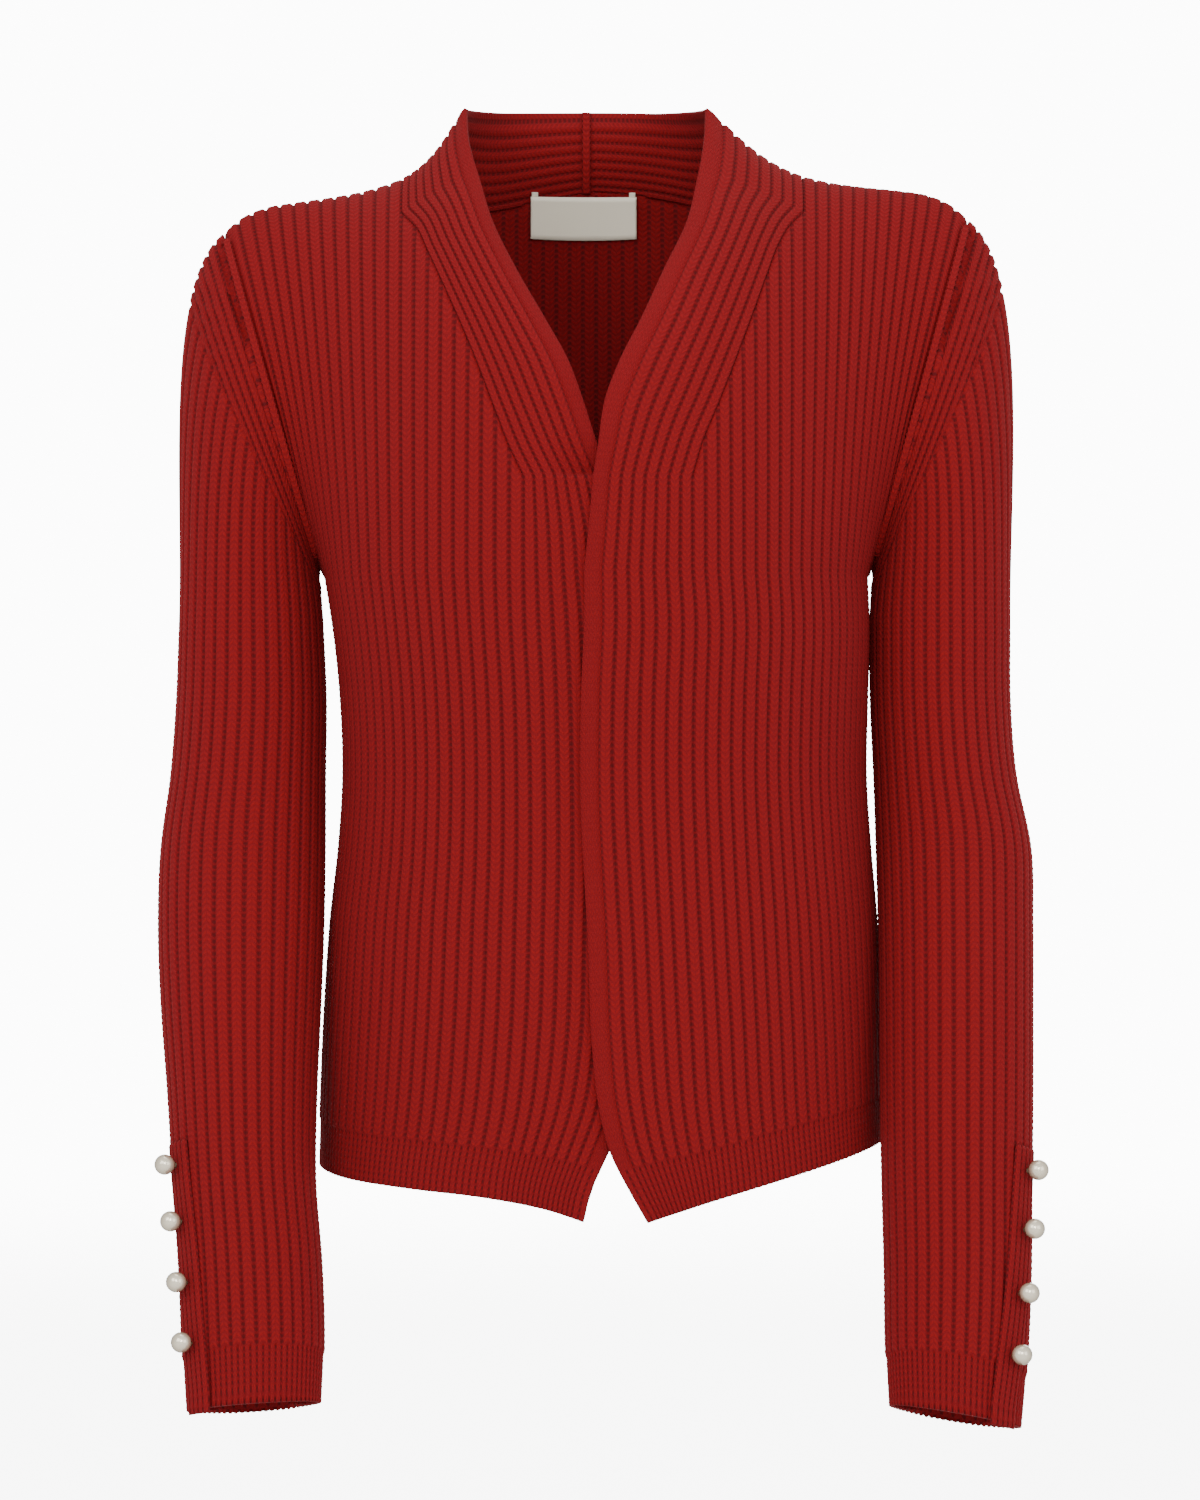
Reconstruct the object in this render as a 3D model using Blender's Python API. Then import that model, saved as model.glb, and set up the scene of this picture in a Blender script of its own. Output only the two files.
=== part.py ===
"""Open-front rib-knit blazer, filled out as worn: walls of cloth, pearl buttons and a bare label.

Metres, +Z up, front towards -Y, wearer's left towards +X. Height 0 is the neck and shoulder level.
"""
import math

import bmesh
import bpy
import numpy as np

# ---------------------------------------------------------------- driving dimensions
WALL = 0.0020                 # cloth thickness in a rib's valley
RIB_RISE = 0.0014             # how far a body or sleeve rib stands up
FINE_RISE = 0.0007            # the same on the hem, the cuffs and the plain front edge
SEAM_GAP = 0.0003             # clearance between pieces that are sewn together
ARMHOLE_GAP = 0.00045         # the same round the armholes, where the two edges' points differ
LAP_CLEARANCE = 0.0005        # between a placket strip and the sleeve's ribs under it
ROUNDNESS = 2.25              # exponent of the torso's rings, 2 is an ellipse

UNDERARM = -0.205             # height of the underarm point
NECK_TOP = 0.035              # height that the front would reach at its middle, were it not cut away
SHOULDER_TIP = 0.197          # armhole's top from the middle
ARMHOLE_HOLLOW = {-1: 0.034, 1: 0.024}   # how far an armhole's front and back edges reach
ARMHOLE_LIP = 0.0030          # how far the armhole's lowest part stands out and up
SHOULDER_DROP = 0.0035        # the right shoulder's tip is this much lower, the left's higher
RIDGE_Y = 0.005               # the shoulder seams lie a little behind the side seams
BAND_START = -0.157           # height at which the front band leaves the front edge for the neckline

PANEL_RIBS = 22               # ribs of a front, from its band to its side seam
BACK_RIBS = 54
BAND_RIBS = 7                 # ribs of the front band, beside its plain edge
EDGE_STRIP = 0.010            # width of the plain edge
BAND_WIDTH = 0.061
BAND_LEAD = 0.42              # how far the band follows the shoulder's slope before it turns up
SLEEVE_RIBS = 34
INNER_STEP = 6                # the plain inside has a column for every third rib

# Torso rings: height, middle, half width, front depth, back depth
TORSO_RINGS = (
    (-0.550, 0.0030, 0.1495, 0.1150, 0.1030),
    (-0.505, 0.0030, 0.1485, 0.1140, 0.1020),
    (-0.420, 0.0035, 0.1455, 0.1100, 0.0985),
    (-0.385, 0.0040, 0.1435, 0.1080, 0.0970),
    (-0.350, 0.0045, 0.1400, 0.1070, 0.0955),
    (-0.310, 0.0045, 0.1375, 0.1075, 0.0945),
    (-0.270, 0.0042, 0.1385, 0.1105, 0.0945),
    (-0.230, 0.0025, 0.1410, 0.1127, 0.0952),
    (-0.205, 0.0000, 0.1425, 0.1130, 0.0955),
)
# Shoulder line: distance from the middle, height
SHOULDER_LINE = (
    (0.000, 0.0350), (0.050, 0.0300), (0.080, 0.0200), (0.104, 0.0065), (0.120, 0.0015),
    (0.140, -0.0020), (0.160, -0.0045), (0.175, -0.0070), (0.187, -0.0120), (0.197, -0.0200),
)
# Fashioning line, where a front's upright ribs meet its band, below BAND_START: height, left, right
FASHION_LINE = (
    (-0.550, 0.0650, -0.0490), (-0.520, 0.0630, -0.0475), (-0.480, 0.0580, -0.0395),
    (-0.440, 0.0558, -0.0358), (-0.380, 0.0525, -0.0340), (-0.320, 0.0500, -0.0335),
    (-0.270, 0.0500, -0.0345), (-0.230, 0.0510, -0.0365),
)
# The same line from BAND_START to the shoulder: height, left, right
NECK_FASHION_LINE = (
    (-0.143, 0.0535, -0.0440), (-0.117, 0.0640, -0.0540), (-0.091, 0.0740, -0.0640),
    (-0.064, 0.0840, -0.0755), (-0.0365, 0.0940, -0.0880), (-0.016, 0.1030, -0.0980),
)
# Front edges: height, left front (on top), right front (underneath)
FRONT_EDGES = (
    (-0.550, 0.0320, -0.0110), (-0.5395, 0.0270, -0.0068), (-0.523, 0.0175, -0.0025),
    (-0.502, 0.0070, 0.0070), (-0.480, 0.0015, 0.0165), (-0.450, -0.0020, 0.0230),
    (-0.400, -0.0040, 0.0255), (-0.320, -0.0080, 0.0265), (-0.270, -0.0077, 0.0255),
    (-0.220, -0.0060, 0.0225), (-0.185, -0.0040, 0.0165), (-0.157, -0.0015, 0.0075),
)
# Neck edge from the crossing of the fronts to the collar's side: height, depth, left, right
NECK_EDGE = (
    (-0.141, -0.1070, 0.0010, 0.0010), (-0.117, -0.1000, 0.0046, -0.0066),
    (-0.098, -0.0930, 0.0115, -0.0135), (-0.074, -0.0805, 0.0232, -0.0262),
    (-0.047, -0.0640, 0.0352, -0.0412), (-0.020, -0.0460, 0.0475, -0.0540),
    (0.003, -0.0290, 0.0530, -0.0610), (0.027, -0.0110, 0.0575, -0.0680),
)
# Hem: share of the way from the front edge to the side seam, height on the left, on the right
HEM_LINE = (
    (0.00, -0.5385, -0.5380), (0.10, -0.5335, -0.5320), (0.25, -0.5255, -0.5265),
    (0.45, -0.5160, -0.5230), (0.70, -0.5065, -0.5195), (1.00, -0.5000, -0.5140),
)
# Sleeve: height of the ring's middle, inner and outer side on the left, the same on the right,
# depth of the middle, half depth
SLEEVE_RINGS = (
    (-0.232, 0.1460, 0.2180, 0.1455, 0.2195, -0.0030, 0.0385),
    (-0.270, 0.1462, 0.2180, 0.1438, 0.2208, -0.0050, 0.0390),
    (-0.310, 0.1478, 0.2208, 0.1440, 0.2235, -0.0090, 0.0395),
    (-0.350, 0.1488, 0.2282, 0.1438, 0.2282, -0.0160, 0.0400),
    (-0.390, 0.1494, 0.2283, 0.1440, 0.2287, -0.0270, 0.0395),
    (-0.430, 0.1494, 0.2275, 0.1450, 0.2264, -0.0385, 0.0380),
    (-0.475, 0.1492, 0.2266, 0.1465, 0.2222, -0.0500, 0.0360),
    (-0.520, 0.1495, 0.2252, 0.1465, 0.2185, -0.0620, 0.0335),
    (-0.565, 0.1500, 0.2238, 0.1425, 0.2145, -0.0750, 0.0310),
    (-0.605, 0.1500, 0.2208, 0.1408, 0.2118, -0.0870, 0.0285),
    (-0.634, 0.1510, 0.2175, 0.1415, 0.2092, -0.0975, 0.0270),
)
CUFF_DROP = {1: 0.005, -1: 0.0}    # the left cuff hangs a little lower
CUFF_SLOPE = {1: 0.17, -1: 0.07}   # how much lower a cuff is on its outer side, per metre across
NECK_MIDDLE = -0.0055         # the collar leans a little to the wearer's right
COLLAR_HALF_WIDTH = 0.0645
COLLAR_SIDE_Y = 0.0030        # depth of the collar's edge at its sides
COLLAR_BACK_Y = 0.0825
COLLAR_TOP = (0.0440, 0.0495)   # heights of the collar's edge at its sides and its middle back
BACK_NECK = (0.0050, 0.0806)    # depths of the back neckline at the shoulder and the middle back
NECK_ROUNDNESS = 2.3          # exponent of the collar's and the neckline's curve

VENT_LENGTH = 0.130
PLACKET_WIDTH = 0.0155
PLACKET_REACH = 0.003         # how far the placket reaches below the sleeve's edge
CUFF_GIRTH = 0.205
# Place of the placket round the sleeve at its top and its cuff: 0.25 front, 0.5 outer side
PLACKET_PLACES = {1: (0.415, 0.365), -1: (0.415, 0.388)}
PEARL_RADIUS = 0.0053
SHANK_RADIUS = 0.0016
SHANK_HEIGHT = 0.0012
BUTTON_PLACES = (0.0120, 0.0405, 0.0705, 0.1010)   # from the vent's top, along the placket
LABEL_SIZE = (0.0587, 0.0228, 0.0008)   # width, height, thickness
LABEL_MIDDLE = (-0.0070, -0.0060)       # across and height
LABEL_CLEARANCE = 0.0013      # from the back's inner points, whose flat faces come closer between

RED = (0.306, 0.011, 0.010)
DEEP_RED = (0.275, 0.010, 0.009)
PEARL = (0.760, 0.700, 0.600)
CREAM = (0.800, 0.760, 0.670)


# ---------------------------------------------------------------- curves and tables
def table_value(table, column, at):
    """A column of a table as a smooth curve through its rows."""
    rows = np.asarray(table, float)
    rows = rows[np.argsort(rows[:, 0])]
    keys, values = rows[:, 0], rows[:, column]
    slopes = np.gradient(values, keys)
    at = np.clip(np.asarray(at, float), keys[0], keys[-1])
    row = np.clip(np.searchsorted(keys, at) - 1, 0, len(keys) - 2)
    span = keys[row + 1] - keys[row]
    u = (at - keys[row]) / span
    rise = u * u * (3 - 2 * u)
    start = u * (1 - u) ** 2 * span * slopes[row]
    end = u * u * (u - 1) * span * slopes[row + 1]
    return values[row] * (1 - rise) + values[row + 1] * rise + start + end


def ease(u):
    """Smooth step from 0 to 1."""
    u = np.clip(u, 0.0, 1.0)
    return u * u * (3 - 2 * u)


def unit(vectors):
    """Vectors scaled to length 1."""
    return vectors / np.maximum(np.linalg.norm(vectors, axis=-1, keepdims=True), 1e-12)


def distances(points):
    """Distance of every point from the first one, along the polyline."""
    steps = np.linalg.norm(np.diff(points, axis=0), axis=1)
    return np.concatenate(([0.0], np.cumsum(steps)))


def resample(points, shares):
    """Points at the given shares of a polyline's length."""
    along = distances(points)
    along /= along[-1]
    return np.stack([np.interp(shares, along, points[:, axis]) for axis in range(3)], axis=1)


def column_of(side):
    """Column of a table for a side: 1 is the wearer's left, -1 the right."""
    return 1 if side > 0 else 2


# ---------------------------------------------------------------- the torso's surface
QUARTER = np.linspace(0.0, math.pi / 2, 400)
USUAL_RING = (0.143, 0.106)            # half width and depth that places are spread evenly on


def quarter_ring(angle):
    """A quarter of a ring from the middle to the side: shares of its half width and depth."""
    power = 2.0 / ROUNDNESS
    return np.sin(angle) ** power, np.clip(np.cos(angle), 0.0, 1.0) ** power


def quarter_shares():
    """Share of a quarter's length at each of its angles."""
    across, deep = quarter_ring(QUARTER)
    length = distances(np.stack([across * USUAL_RING[0], deep * USUAL_RING[1]], axis=1))
    return length / length[-1]


QUARTER_SHARES = quarter_shares()


def shoulder_height(across):
    """Height of the shoulder line."""
    drop = -np.sign(across) * SHOULDER_DROP * ease(np.abs(across) / SHOULDER_TIP)
    return table_value(SHOULDER_LINE, 1, np.abs(across)) - drop


# How squarely the chest (-1) and the back (1) turn over to the shoulder: at the middle, at the tips
LEAN_POWERS = {-1: (1.8, 1.8), 1: (4.7, 3.0)}
LEAN_REACH = 0.110            # distance from the middle at which the second value is reached


def torso_point(place, height, face):
    """A point of the torso's valley surface.

    place: -1 at the right side, 0 in the middle, 1 at the left side, even along the ring.
    height: real height below UNDERARM, and above it the share of the way to the shoulder line
    times the full way at the middle. face: -1 front, 1 back.
    """
    place, height = np.broadcast_arrays(np.asarray(place, float), np.asarray(height, float))
    low = np.minimum(height, UNDERARM)
    middle, half_width, front, back = (table_value(TORSO_RINGS, c, low) for c in (1, 2, 3, 4))
    across, deep = quarter_ring(np.interp(np.abs(place), QUARTER_SHARES, QUARTER))
    ring_x = middle + np.sign(place) * half_width * across
    ring_y = face * (front if face < 0 else back) * deep
    rise = np.clip((height - UNDERARM) / (NECK_TOP - UNDERARM), 0.0, 1.0)
    top_x = place * SHOULDER_TIP
    middle_power, tip_power = LEAN_POWERS[face]
    power = tip_power + (middle_power - tip_power) * (1 - ease(np.abs(top_x) / LEAN_REACH))
    lean = np.maximum(1 - rise ** power, 0.0) ** (1 / power)
    hollow = ARMHOLE_HOLLOW[face] * np.sin(math.pi * rise) ** 0.75 * np.abs(place) ** 6
    x = ring_x * (1 - rise) + top_x * rise
    y = RIDGE_Y + (ring_y - RIDGE_Y) * lean + face * hollow
    z = low + rise * (shoulder_height(top_x) - UNDERARM)
    return np.stack([x, y, z], axis=-1)


def torso_normal(place, height, face):
    """Outward unit normals; they stay in the plane of a side or shoulder seam."""
    place, height = np.broadcast_arrays(np.asarray(place, float), np.asarray(height, float))
    step_place, step_height = 0.004, 0.0006
    p1, p0 = np.minimum(place + step_place, 1.0), np.maximum(place - step_place, -1.0)
    h1 = np.minimum(height + step_height, NECK_TOP - 1e-5)
    h0 = h1 - 2 * step_height
    sideways = torso_point(p1, height, face) - torso_point(p0, height, face)
    upwards = torso_point(place, h1, face) - torso_point(place, h0, face)
    normal = unit(np.cross(sideways, upwards) * (1 if face < 0 else -1))
    on_seam = ((np.abs(place) > 0.9999) & (height <= UNDERARM)) | (height > NECK_TOP - 1e-4)
    normal[..., 1] = np.where(on_seam, 0.0, normal[..., 1])
    return unit(normal)


def place_at(across, height, face=-1):
    """Place round the torso that lies a given distance from the middle, at one height."""
    places = np.linspace(-1.0, 1.0, 801)
    return float(np.interp(across, torso_point(places, height, face)[:, 0], places))


def armhole(side, face, rises):
    """Armhole edge at shares from 0 at the underarm to 1 at the shoulder tip."""
    heights = UNDERARM + rises * (NECK_TOP - UNDERARM)
    points = torso_point(np.full_like(rises, side), heights, face)
    lip = ARMHOLE_LIP * (1 - rises) ** 4
    return points + np.stack([side * lip, 0 * lip, lip], axis=1)


def armhole_normals(points, rises, side, face):
    """Normals square to the armhole edge and to the way out of the sleeve, upright at its ends."""
    along = unit(np.gradient(points, axis=0))
    normal = unit(np.cross(along, np.array([side, 0.0, 0.0])) * (-side * face))
    low, high = ease(rises / 0.08)[:, None], ease((1 - rises) / 0.04)[:, None]
    down, up = np.array([[0.0, 0.0, -1.0]]), np.array([[0.0, 0.0, 1.0]])
    return unit(unit(normal * low + down * (1 - low)) * high + up * (1 - high))


# ---------------------------------------------------------------- walls of cloth
class Wall:
    """A closed wall: an outer skin with ribs, a plain inner skin with fewer points, and rims."""

    def __init__(self):
        self.points = []
        self.outer_faces = []
        self.inner_faces = []
        self.twin = {}

    def add(self, point):
        self.points.append(tuple(point))
        return len(self.points) - 1

    def node(self, place, base, normal, rise, has_twin):
        """One point of a row: its outer vertex and, if it has one, its inner vertex."""
        outer = self.add(base + normal * rise)
        inner = self.add(base - normal * WALL) if has_twin else None
        if has_twin:
            self.twin[outer] = inner
        return (place, outer, inner)

    def strip(self, lower, upper, faces, index):
        """Triangles between two rows of nodes, matched by their places."""
        a = [(node[0], node[index]) for node in lower if node[index] is not None]
        b = [(node[0], node[index]) for node in upper if node[index] is not None]
        i = j = 0
        while i < len(a) - 1 or j < len(b) - 1:
            next_a = a[i + 1][0] if i < len(a) - 1 else math.inf
            next_b = b[j + 1][0] if j < len(b) - 1 else math.inf
            if next_a < next_b:
                face = (a[i][1], a[i + 1][1], b[j][1])
                i += 1
            else:
                face = (a[i][1], b[j + 1][1], b[j][1])
                j += 1
            if len(set(face)) == 3:
                faces.append(face)

    def patch(self, rows, between=0):
        """Skins through rows of nodes; a row without twins is left out of the inner skin.

        The first node of rows 1 to `between` lies below its row, on a stepped edge.
        """
        for i, (lower, upper) in enumerate(zip(rows, rows[1:])):
            self.strip(lower[1:] if 1 <= i <= between else lower, upper, self.outer_faces, 1)
        plain = [row for row in rows if any(node[2] is not None for node in row)]
        for lower, upper in zip(plain, plain[1:]):
            self.strip(lower, upper, self.inner_faces, 2)

    def open_loops(self):
        """Closed runs of the outer skin's open edges, each from a vertex that has a twin."""
        uses = {}
        for face in self.outer_faces:
            for a, b in zip(face, face[1:] + face[:1]):
                key = (min(a, b), max(a, b))
                uses[key] = uses.get(key, 0) + 1
        beside = {}
        for (a, b), count in uses.items():
            if count == 1:
                beside.setdefault(a, []).append(b)
                beside.setdefault(b, []).append(a)
        unused = set(beside)
        while unused:
            start = min(vertex for vertex in unused if vertex in self.twin)
            loop = [start, beside[start][0]]
            while loop[-1] != start:
                here, before = loop[-1], loop[-2]
                loop.append(next(vertex for vertex in beside[here] if vertex != before))
            unused -= set(loop)
            yield loop

    def rims(self):
        """Faces that join the skins along every open edge."""
        faces = []
        for loop in self.open_loops():
            run = [loop[0]]
            for vertex in loop[1:]:
                run.append(vertex)
                if vertex not in self.twin:
                    continue
                first, last = self.twin[run[0]], self.twin[vertex]
                half = len(run) // 2
                for k, (a, b) in enumerate(zip(run, run[1:])):
                    faces.append((b, a, first if k < half else last))
                faces.append((run[half], first, last))
                run = [vertex]
        return faces

    def build(self, name, material):
        """Mesh object of the closed wall, every face outwards."""
        faces = self.outer_faces + [tuple(reversed(face)) for face in self.inner_faces] + self.rims()
        return mesh_object(name, self.points, faces, material)


def mesh_object(name, points, faces, material):
    """Object with a mesh of these points and faces."""
    mesh = bpy.data.meshes.new(name)
    mesh.from_pydata([tuple(float(c) for c in point) for point in points], [], faces)
    mesh.validate()
    mesh.materials.append(material)
    item = bpy.data.objects.new(name, mesh)
    bpy.context.collection.objects.link(item)
    return item


def material(name, colour, roughness):
    """Plain material of one colour."""
    shade = bpy.data.materials.new(name)
    shade.use_nodes = True
    shader = shade.node_tree.nodes["Principled BSDF"]
    shader.inputs["Base Color"].default_value = (*colour, 1.0)
    shader.inputs["Roughness"].default_value = roughness
    return shade


def rib(index, rise):
    """Outer rise of a half-rib column: valleys on even columns."""
    return rise if index % 2 else 0.0


def grid_normals(points):
    """Normals of a grid of points, rows upwards and columns to the grid's right."""
    along_rows = np.gradient(points, axis=1)
    along_columns = np.gradient(points, axis=0)
    return unit(np.cross(along_rows, along_columns))


# ---------------------------------------------------------------- back
def back_neckline(across, side):
    """Depth of the back neckline at a distance from the middle."""
    corner = side * NECK_CORNER[side]
    share = np.clip(np.abs(across - NECK_MIDDLE) / abs(corner - NECK_MIDDLE), 0.0, 1.0)
    round_part = (1 - share ** NECK_ROUNDNESS) ** (1 / NECK_ROUNDNESS)
    return BACK_NECK[0] + (BACK_NECK[1] - BACK_NECK[0]) * round_part


BACK_COLUMNS = 2 * BACK_RIBS
NECK_COLUMN = {1: 30, -1: 28}          # half-rib columns from the middle to the neck's corner
NECK_CORNER = {side: NECK_COLUMN[side] / BACK_RIBS * SHOULDER_TIP for side in (1, -1)}
BACK_CROWDING = 1.3           # how much closer the back's rows lie towards its top
NECK_SEARCH = -0.06           # the neckline lies above this height


def back_column(place, rows):
    """Heights of one column's upper points, up to the neckline or shoulder, closer together there."""
    side = 1 if place >= NECK_MIDDLE / SHOULDER_TIP else -1
    heights = UNDERARM + (NECK_TOP - UNDERARM) * np.sin(np.linspace(0.0, math.pi / 2, 400))
    points = torso_point(np.full_like(heights, place), heights, 1)
    if abs(place) * SHOULDER_TIP < NECK_CORNER[side] - 1e-6:
        inside = points[:, 1] < back_neckline(points[:, 0], side)
        end = int(np.argmax(inside & (heights > NECK_SEARCH)))
        before = points[end - 1, 1] - back_neckline(points[end - 1, 0], side)
        after = points[end, 1] - back_neckline(points[end, 0], side)
        share = before / (before - after)
        heights = np.append(heights[:end], heights[end - 1] + share * (heights[end] - heights[end - 1]))
        points = torso_point(np.full_like(heights, place), heights, 1)
    along = distances(points)
    shares = 1 - (1 - np.linspace(0.0, 1.0, rows)) ** BACK_CROWDING
    return np.interp(along[-1] * shares, along, heights)


def neck_columns(side):
    """Columns of the back from the neck's corner to its middle, at which the collar is sewn."""
    corner = NECK_COLUMN[side]
    return [corner, corner - 1] + list(range(corner - 2, 0 if side < 0 else -1, -2))


def back_hem(place):
    """The back hem runs straight from one side seam to the other."""
    left, right = HEM_LINE[-1][1], HEM_LINE[-1][2]
    return right + (left - right) * (place + 1) / 2


LOWER_SHARES = (0.0, 0.042, 0.084, 0.30, 0.53, 0.77, 1.0)
UPPER_ROWS = 8
FINE_ROWS = 3                 # rows of the body's fine rib at the hem


def make_back(cloth):
    """Back from one side seam to the other, from the hem to the shoulders and the neckline."""
    wall = Wall()
    places = np.linspace(-1.0, 1.0, BACK_COLUMNS + 1)
    columns = []
    for place in places:
        hem = back_hem(place)
        lower = hem + (UNDERARM - hem) * np.array(LOWER_SHARES)
        columns.append(np.concatenate((lower[:-1], back_column(place, UPPER_ROWS))))
    heights = np.array(columns).T
    base = torso_point(places[None, :], heights, 1)
    normals = torso_normal(places[None, :], heights, 1)
    first_upper = len(LOWER_SHARES) - 1
    for side, column in ((-1, 0), (1, BACK_COLUMNS)):
        rises = (heights[first_upper:, column] - UNDERARM) / (NECK_TOP - UNDERARM)
        edge = armhole(side, 1, rises)
        base[first_upper:, column] = edge
        normals[first_upper:, column] = armhole_normals(edge, rises, side, 1)
    settle_seams(base, normals, heights)
    neck_twins = {side * column for side in (1, -1) for column in neck_columns(side)}
    rows = []
    for i in range(len(heights)):
        rise = FINE_RISE if i < FINE_ROWS else RIB_RISE
        step = 2 if i == len(heights) - 1 else INNER_STEP
        rows.append([
            wall.node(j, base[i, j], normals[i, j], rib(j, rise),
                      j % step == 0 or (step == 2 and j - BACK_RIBS in neck_twins))
            for j in range(BACK_COLUMNS + 1)
        ])
    wall.patch(rows)
    return wall.build("back", cloth)


def settle_seams(base, normals, heights):
    """Hold the back's clearance at the side and shoulder seams, and keep its rims flat there."""
    for column in (0, -1):
        below = heights[:, column] <= UNDERARM
        base[below, column, 1] = SEAM_GAP / 2
        base[~below, column, 1] += SEAM_GAP / 2
    top = heights[-1] > NECK_TOP - 1e-4
    base[-1, top, 1] = RIDGE_Y + SEAM_GAP / 2
    normals[-1, top, 1] = 0.0
    normals[...] = unit(normals)


# ---------------------------------------------------------------- fronts
def fashion_place(side, heights):
    """Place of the fashioning line below BAND_START, for an array of heights."""
    column = column_of(side)
    rows = np.array(sorted(FASHION_LINE))
    places = [place_at(row[column], row[0]) for row in rows]
    corner = NECK_CORNER[side] / SHOULDER_TIP
    ended = STEPPED_RIBS / PANEL_RIBS
    top = side * (corner - ended) / (1 - ended)
    table = [(row[0], place) for row, place in zip(rows, places)] + [(UNDERARM, top)]
    return table_value(table, 1, heights), top


def edge_place(side, heights):
    """Place of a front edge below BAND_START, for an array of heights."""
    column = column_of(side)
    table = [(row[0], place_at(row[column], row[0])) for row in FRONT_EDGES]
    return table_value(table, 1, heights)


STEPPED_RIBS = 9              # ribs that end on the fashioning line between BAND_START and the shoulder
RIDGE_RISES = (0.90, 0.96, 0.99, 1.0)
PANEL_COLUMNS = 2 * PANEL_RIBS
BAND_COLUMNS = 2 * BAND_RIBS + 2
UNDER_PUSH = 0.0044           # how far the right front lies inside the left one where they lap
UNDER_START = 0.028           # distance before the left front's edge at which it starts to
UNDER_RAMP = 0.024
BAND_TWINS = (0, 8, BAND_COLUMNS)      # columns of the band at which its inside has points
FRONT_SHARES = (0.0, 0.034, 0.068, 0.20, 0.34, 0.48, 0.62, 0.76, 0.873, 1.0)
HEM_LEVEL = -0.53             # height at which the hem's columns are spread


def band_shares():
    """Shares across the band from the fashioning line to its edge: ribs, then the plain edge."""
    ribs = np.linspace(0.0, 1 - EDGE_STRIP / BAND_WIDTH, 2 * BAND_RIBS + 1)
    return np.concatenate((ribs, [1 - 0.5 * EDGE_STRIP / BAND_WIDTH, 1.0]))


def band_rise(column):
    """Outer rise across the band; column 0 lies on the fashioning line."""
    return FINE_RISE if column > 2 * BAND_RIBS else rib(column, RIB_RISE)


def under_push(points):
    """Inward shift of the right front where it goes under the left one."""
    table = [(row[0], row[1]) for row in FRONT_EDGES] + [(row[0], row[2]) for row in NECK_EDGE]
    upper_edge = table_value(table, 1, points[..., 2])
    return UNDER_PUSH * ease((points[..., 0] - upper_edge + UNDER_START) / UNDER_RAMP)


def lower_front(side):
    """Places and heights of the front's grid from the hem to BAND_START, column 0 at its edge."""
    shares = band_shares()
    rows_of_places, rows_of_heights = [], []
    start_edge = edge_place(side, np.array([HEM_LEVEL]))[0]
    start_fashion = fashion_place(side, np.array([HEM_LEVEL]))[0][0]
    band = start_fashion + (start_edge - start_fashion) * shares[::-1]
    panel = start_fashion + (side - start_fashion) * np.arange(1, PANEL_COLUMNS + 1) / PANEL_COLUMNS
    start = np.concatenate((band, panel))
    hem_shares = np.abs(start - start_edge) / abs(side - start_edge)
    hems = table_value(HEM_LINE, column_of(side), hem_shares)
    for share in FRONT_SHARES:
        heights = hems + (BAND_START - hems) * share
        edges = edge_place(side, heights)
        fashion, _ = fashion_place(side, np.minimum(heights, UNDERARM))
        band = fashion[:BAND_COLUMNS + 1] + (edges - fashion)[:BAND_COLUMNS + 1] * shares[::-1]
        fan = np.arange(1, PANEL_COLUMNS + 1) / PANEL_COLUMNS
        panel = fashion[BAND_COLUMNS + 1:] + (side - fashion[BAND_COLUMNS + 1:]) * fan
        rows_of_places.append(np.concatenate((band, panel)))
        rows_of_heights.append(heights)
    return np.array(rows_of_places), np.array(rows_of_heights)


def crossing(side, place, lowest):
    """Height at which an upright column meets the fashioning line above BAND_START."""
    heights = np.linspace(lowest, NECK_TOP - 1e-4, 600)
    points = torso_point(np.full_like(heights, place), heights, -1)
    start = torso_point(fashion_place(side, np.array([UNDERARM]))[1], BAND_START, -1)
    rows = [(start[2], start[0], start[0])] + list(NECK_FASHION_LINE)
    line = table_value(rows, column_of(side), points[:, 2])
    outside = (points[:, 0] - line) * side > 0
    if outside.all():
        return None
    return float(heights[int(np.argmin(outside))])


def upper_heights(side, places):
    """Heights of the stepped rows, and of the points between them on the fashioning line."""
    full = NECK_TOP - UNDERARM
    top = UNDERARM + RIDGE_RISES[0] * full
    rows = [BAND_START]
    between = []
    for step in range(1, STEPPED_RIBS + 1):
        found = crossing(side, places[2 * step], rows[-1] + 0.004)
        rows.append(top if step == STEPPED_RIBS or found is None else min(found, top - 0.01))
    for step in range(STEPPED_RIBS):
        found = crossing(side, places[2 * step + 1], rows[step] + 0.001)
        low, high = rows[step], rows[step + 1]
        middle = found if found is not None else (low + high) / 2
        between.append(min(max(middle, low + 0.35 * (high - low)), low + 0.7 * (high - low)))
    rows += [UNDERARM + rise * full for rise in RIDGE_RISES[1:]]
    return rows, between


def neck_edge_curve(side, start):
    """Neck edge from the front band's top to the side of the collar."""
    x_column = 2 if side > 0 else 3
    points = [start] + [np.array([row[x_column], row[1], row[0]]) for row in NECK_EDGE]
    collar_side = NECK_MIDDLE + side * COLLAR_HALF_WIDTH
    points.append(np.array([collar_side, COLLAR_SIDE_Y, COLLAR_TOP[0]]))
    points = np.array(points)
    dense = np.linspace(0.0, 1.0, 200)
    along = distances(points)
    table = np.column_stack((along / along[-1], points))
    return np.stack([table_value(table, c, dense) for c in (1, 2, 3)], axis=1)


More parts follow.
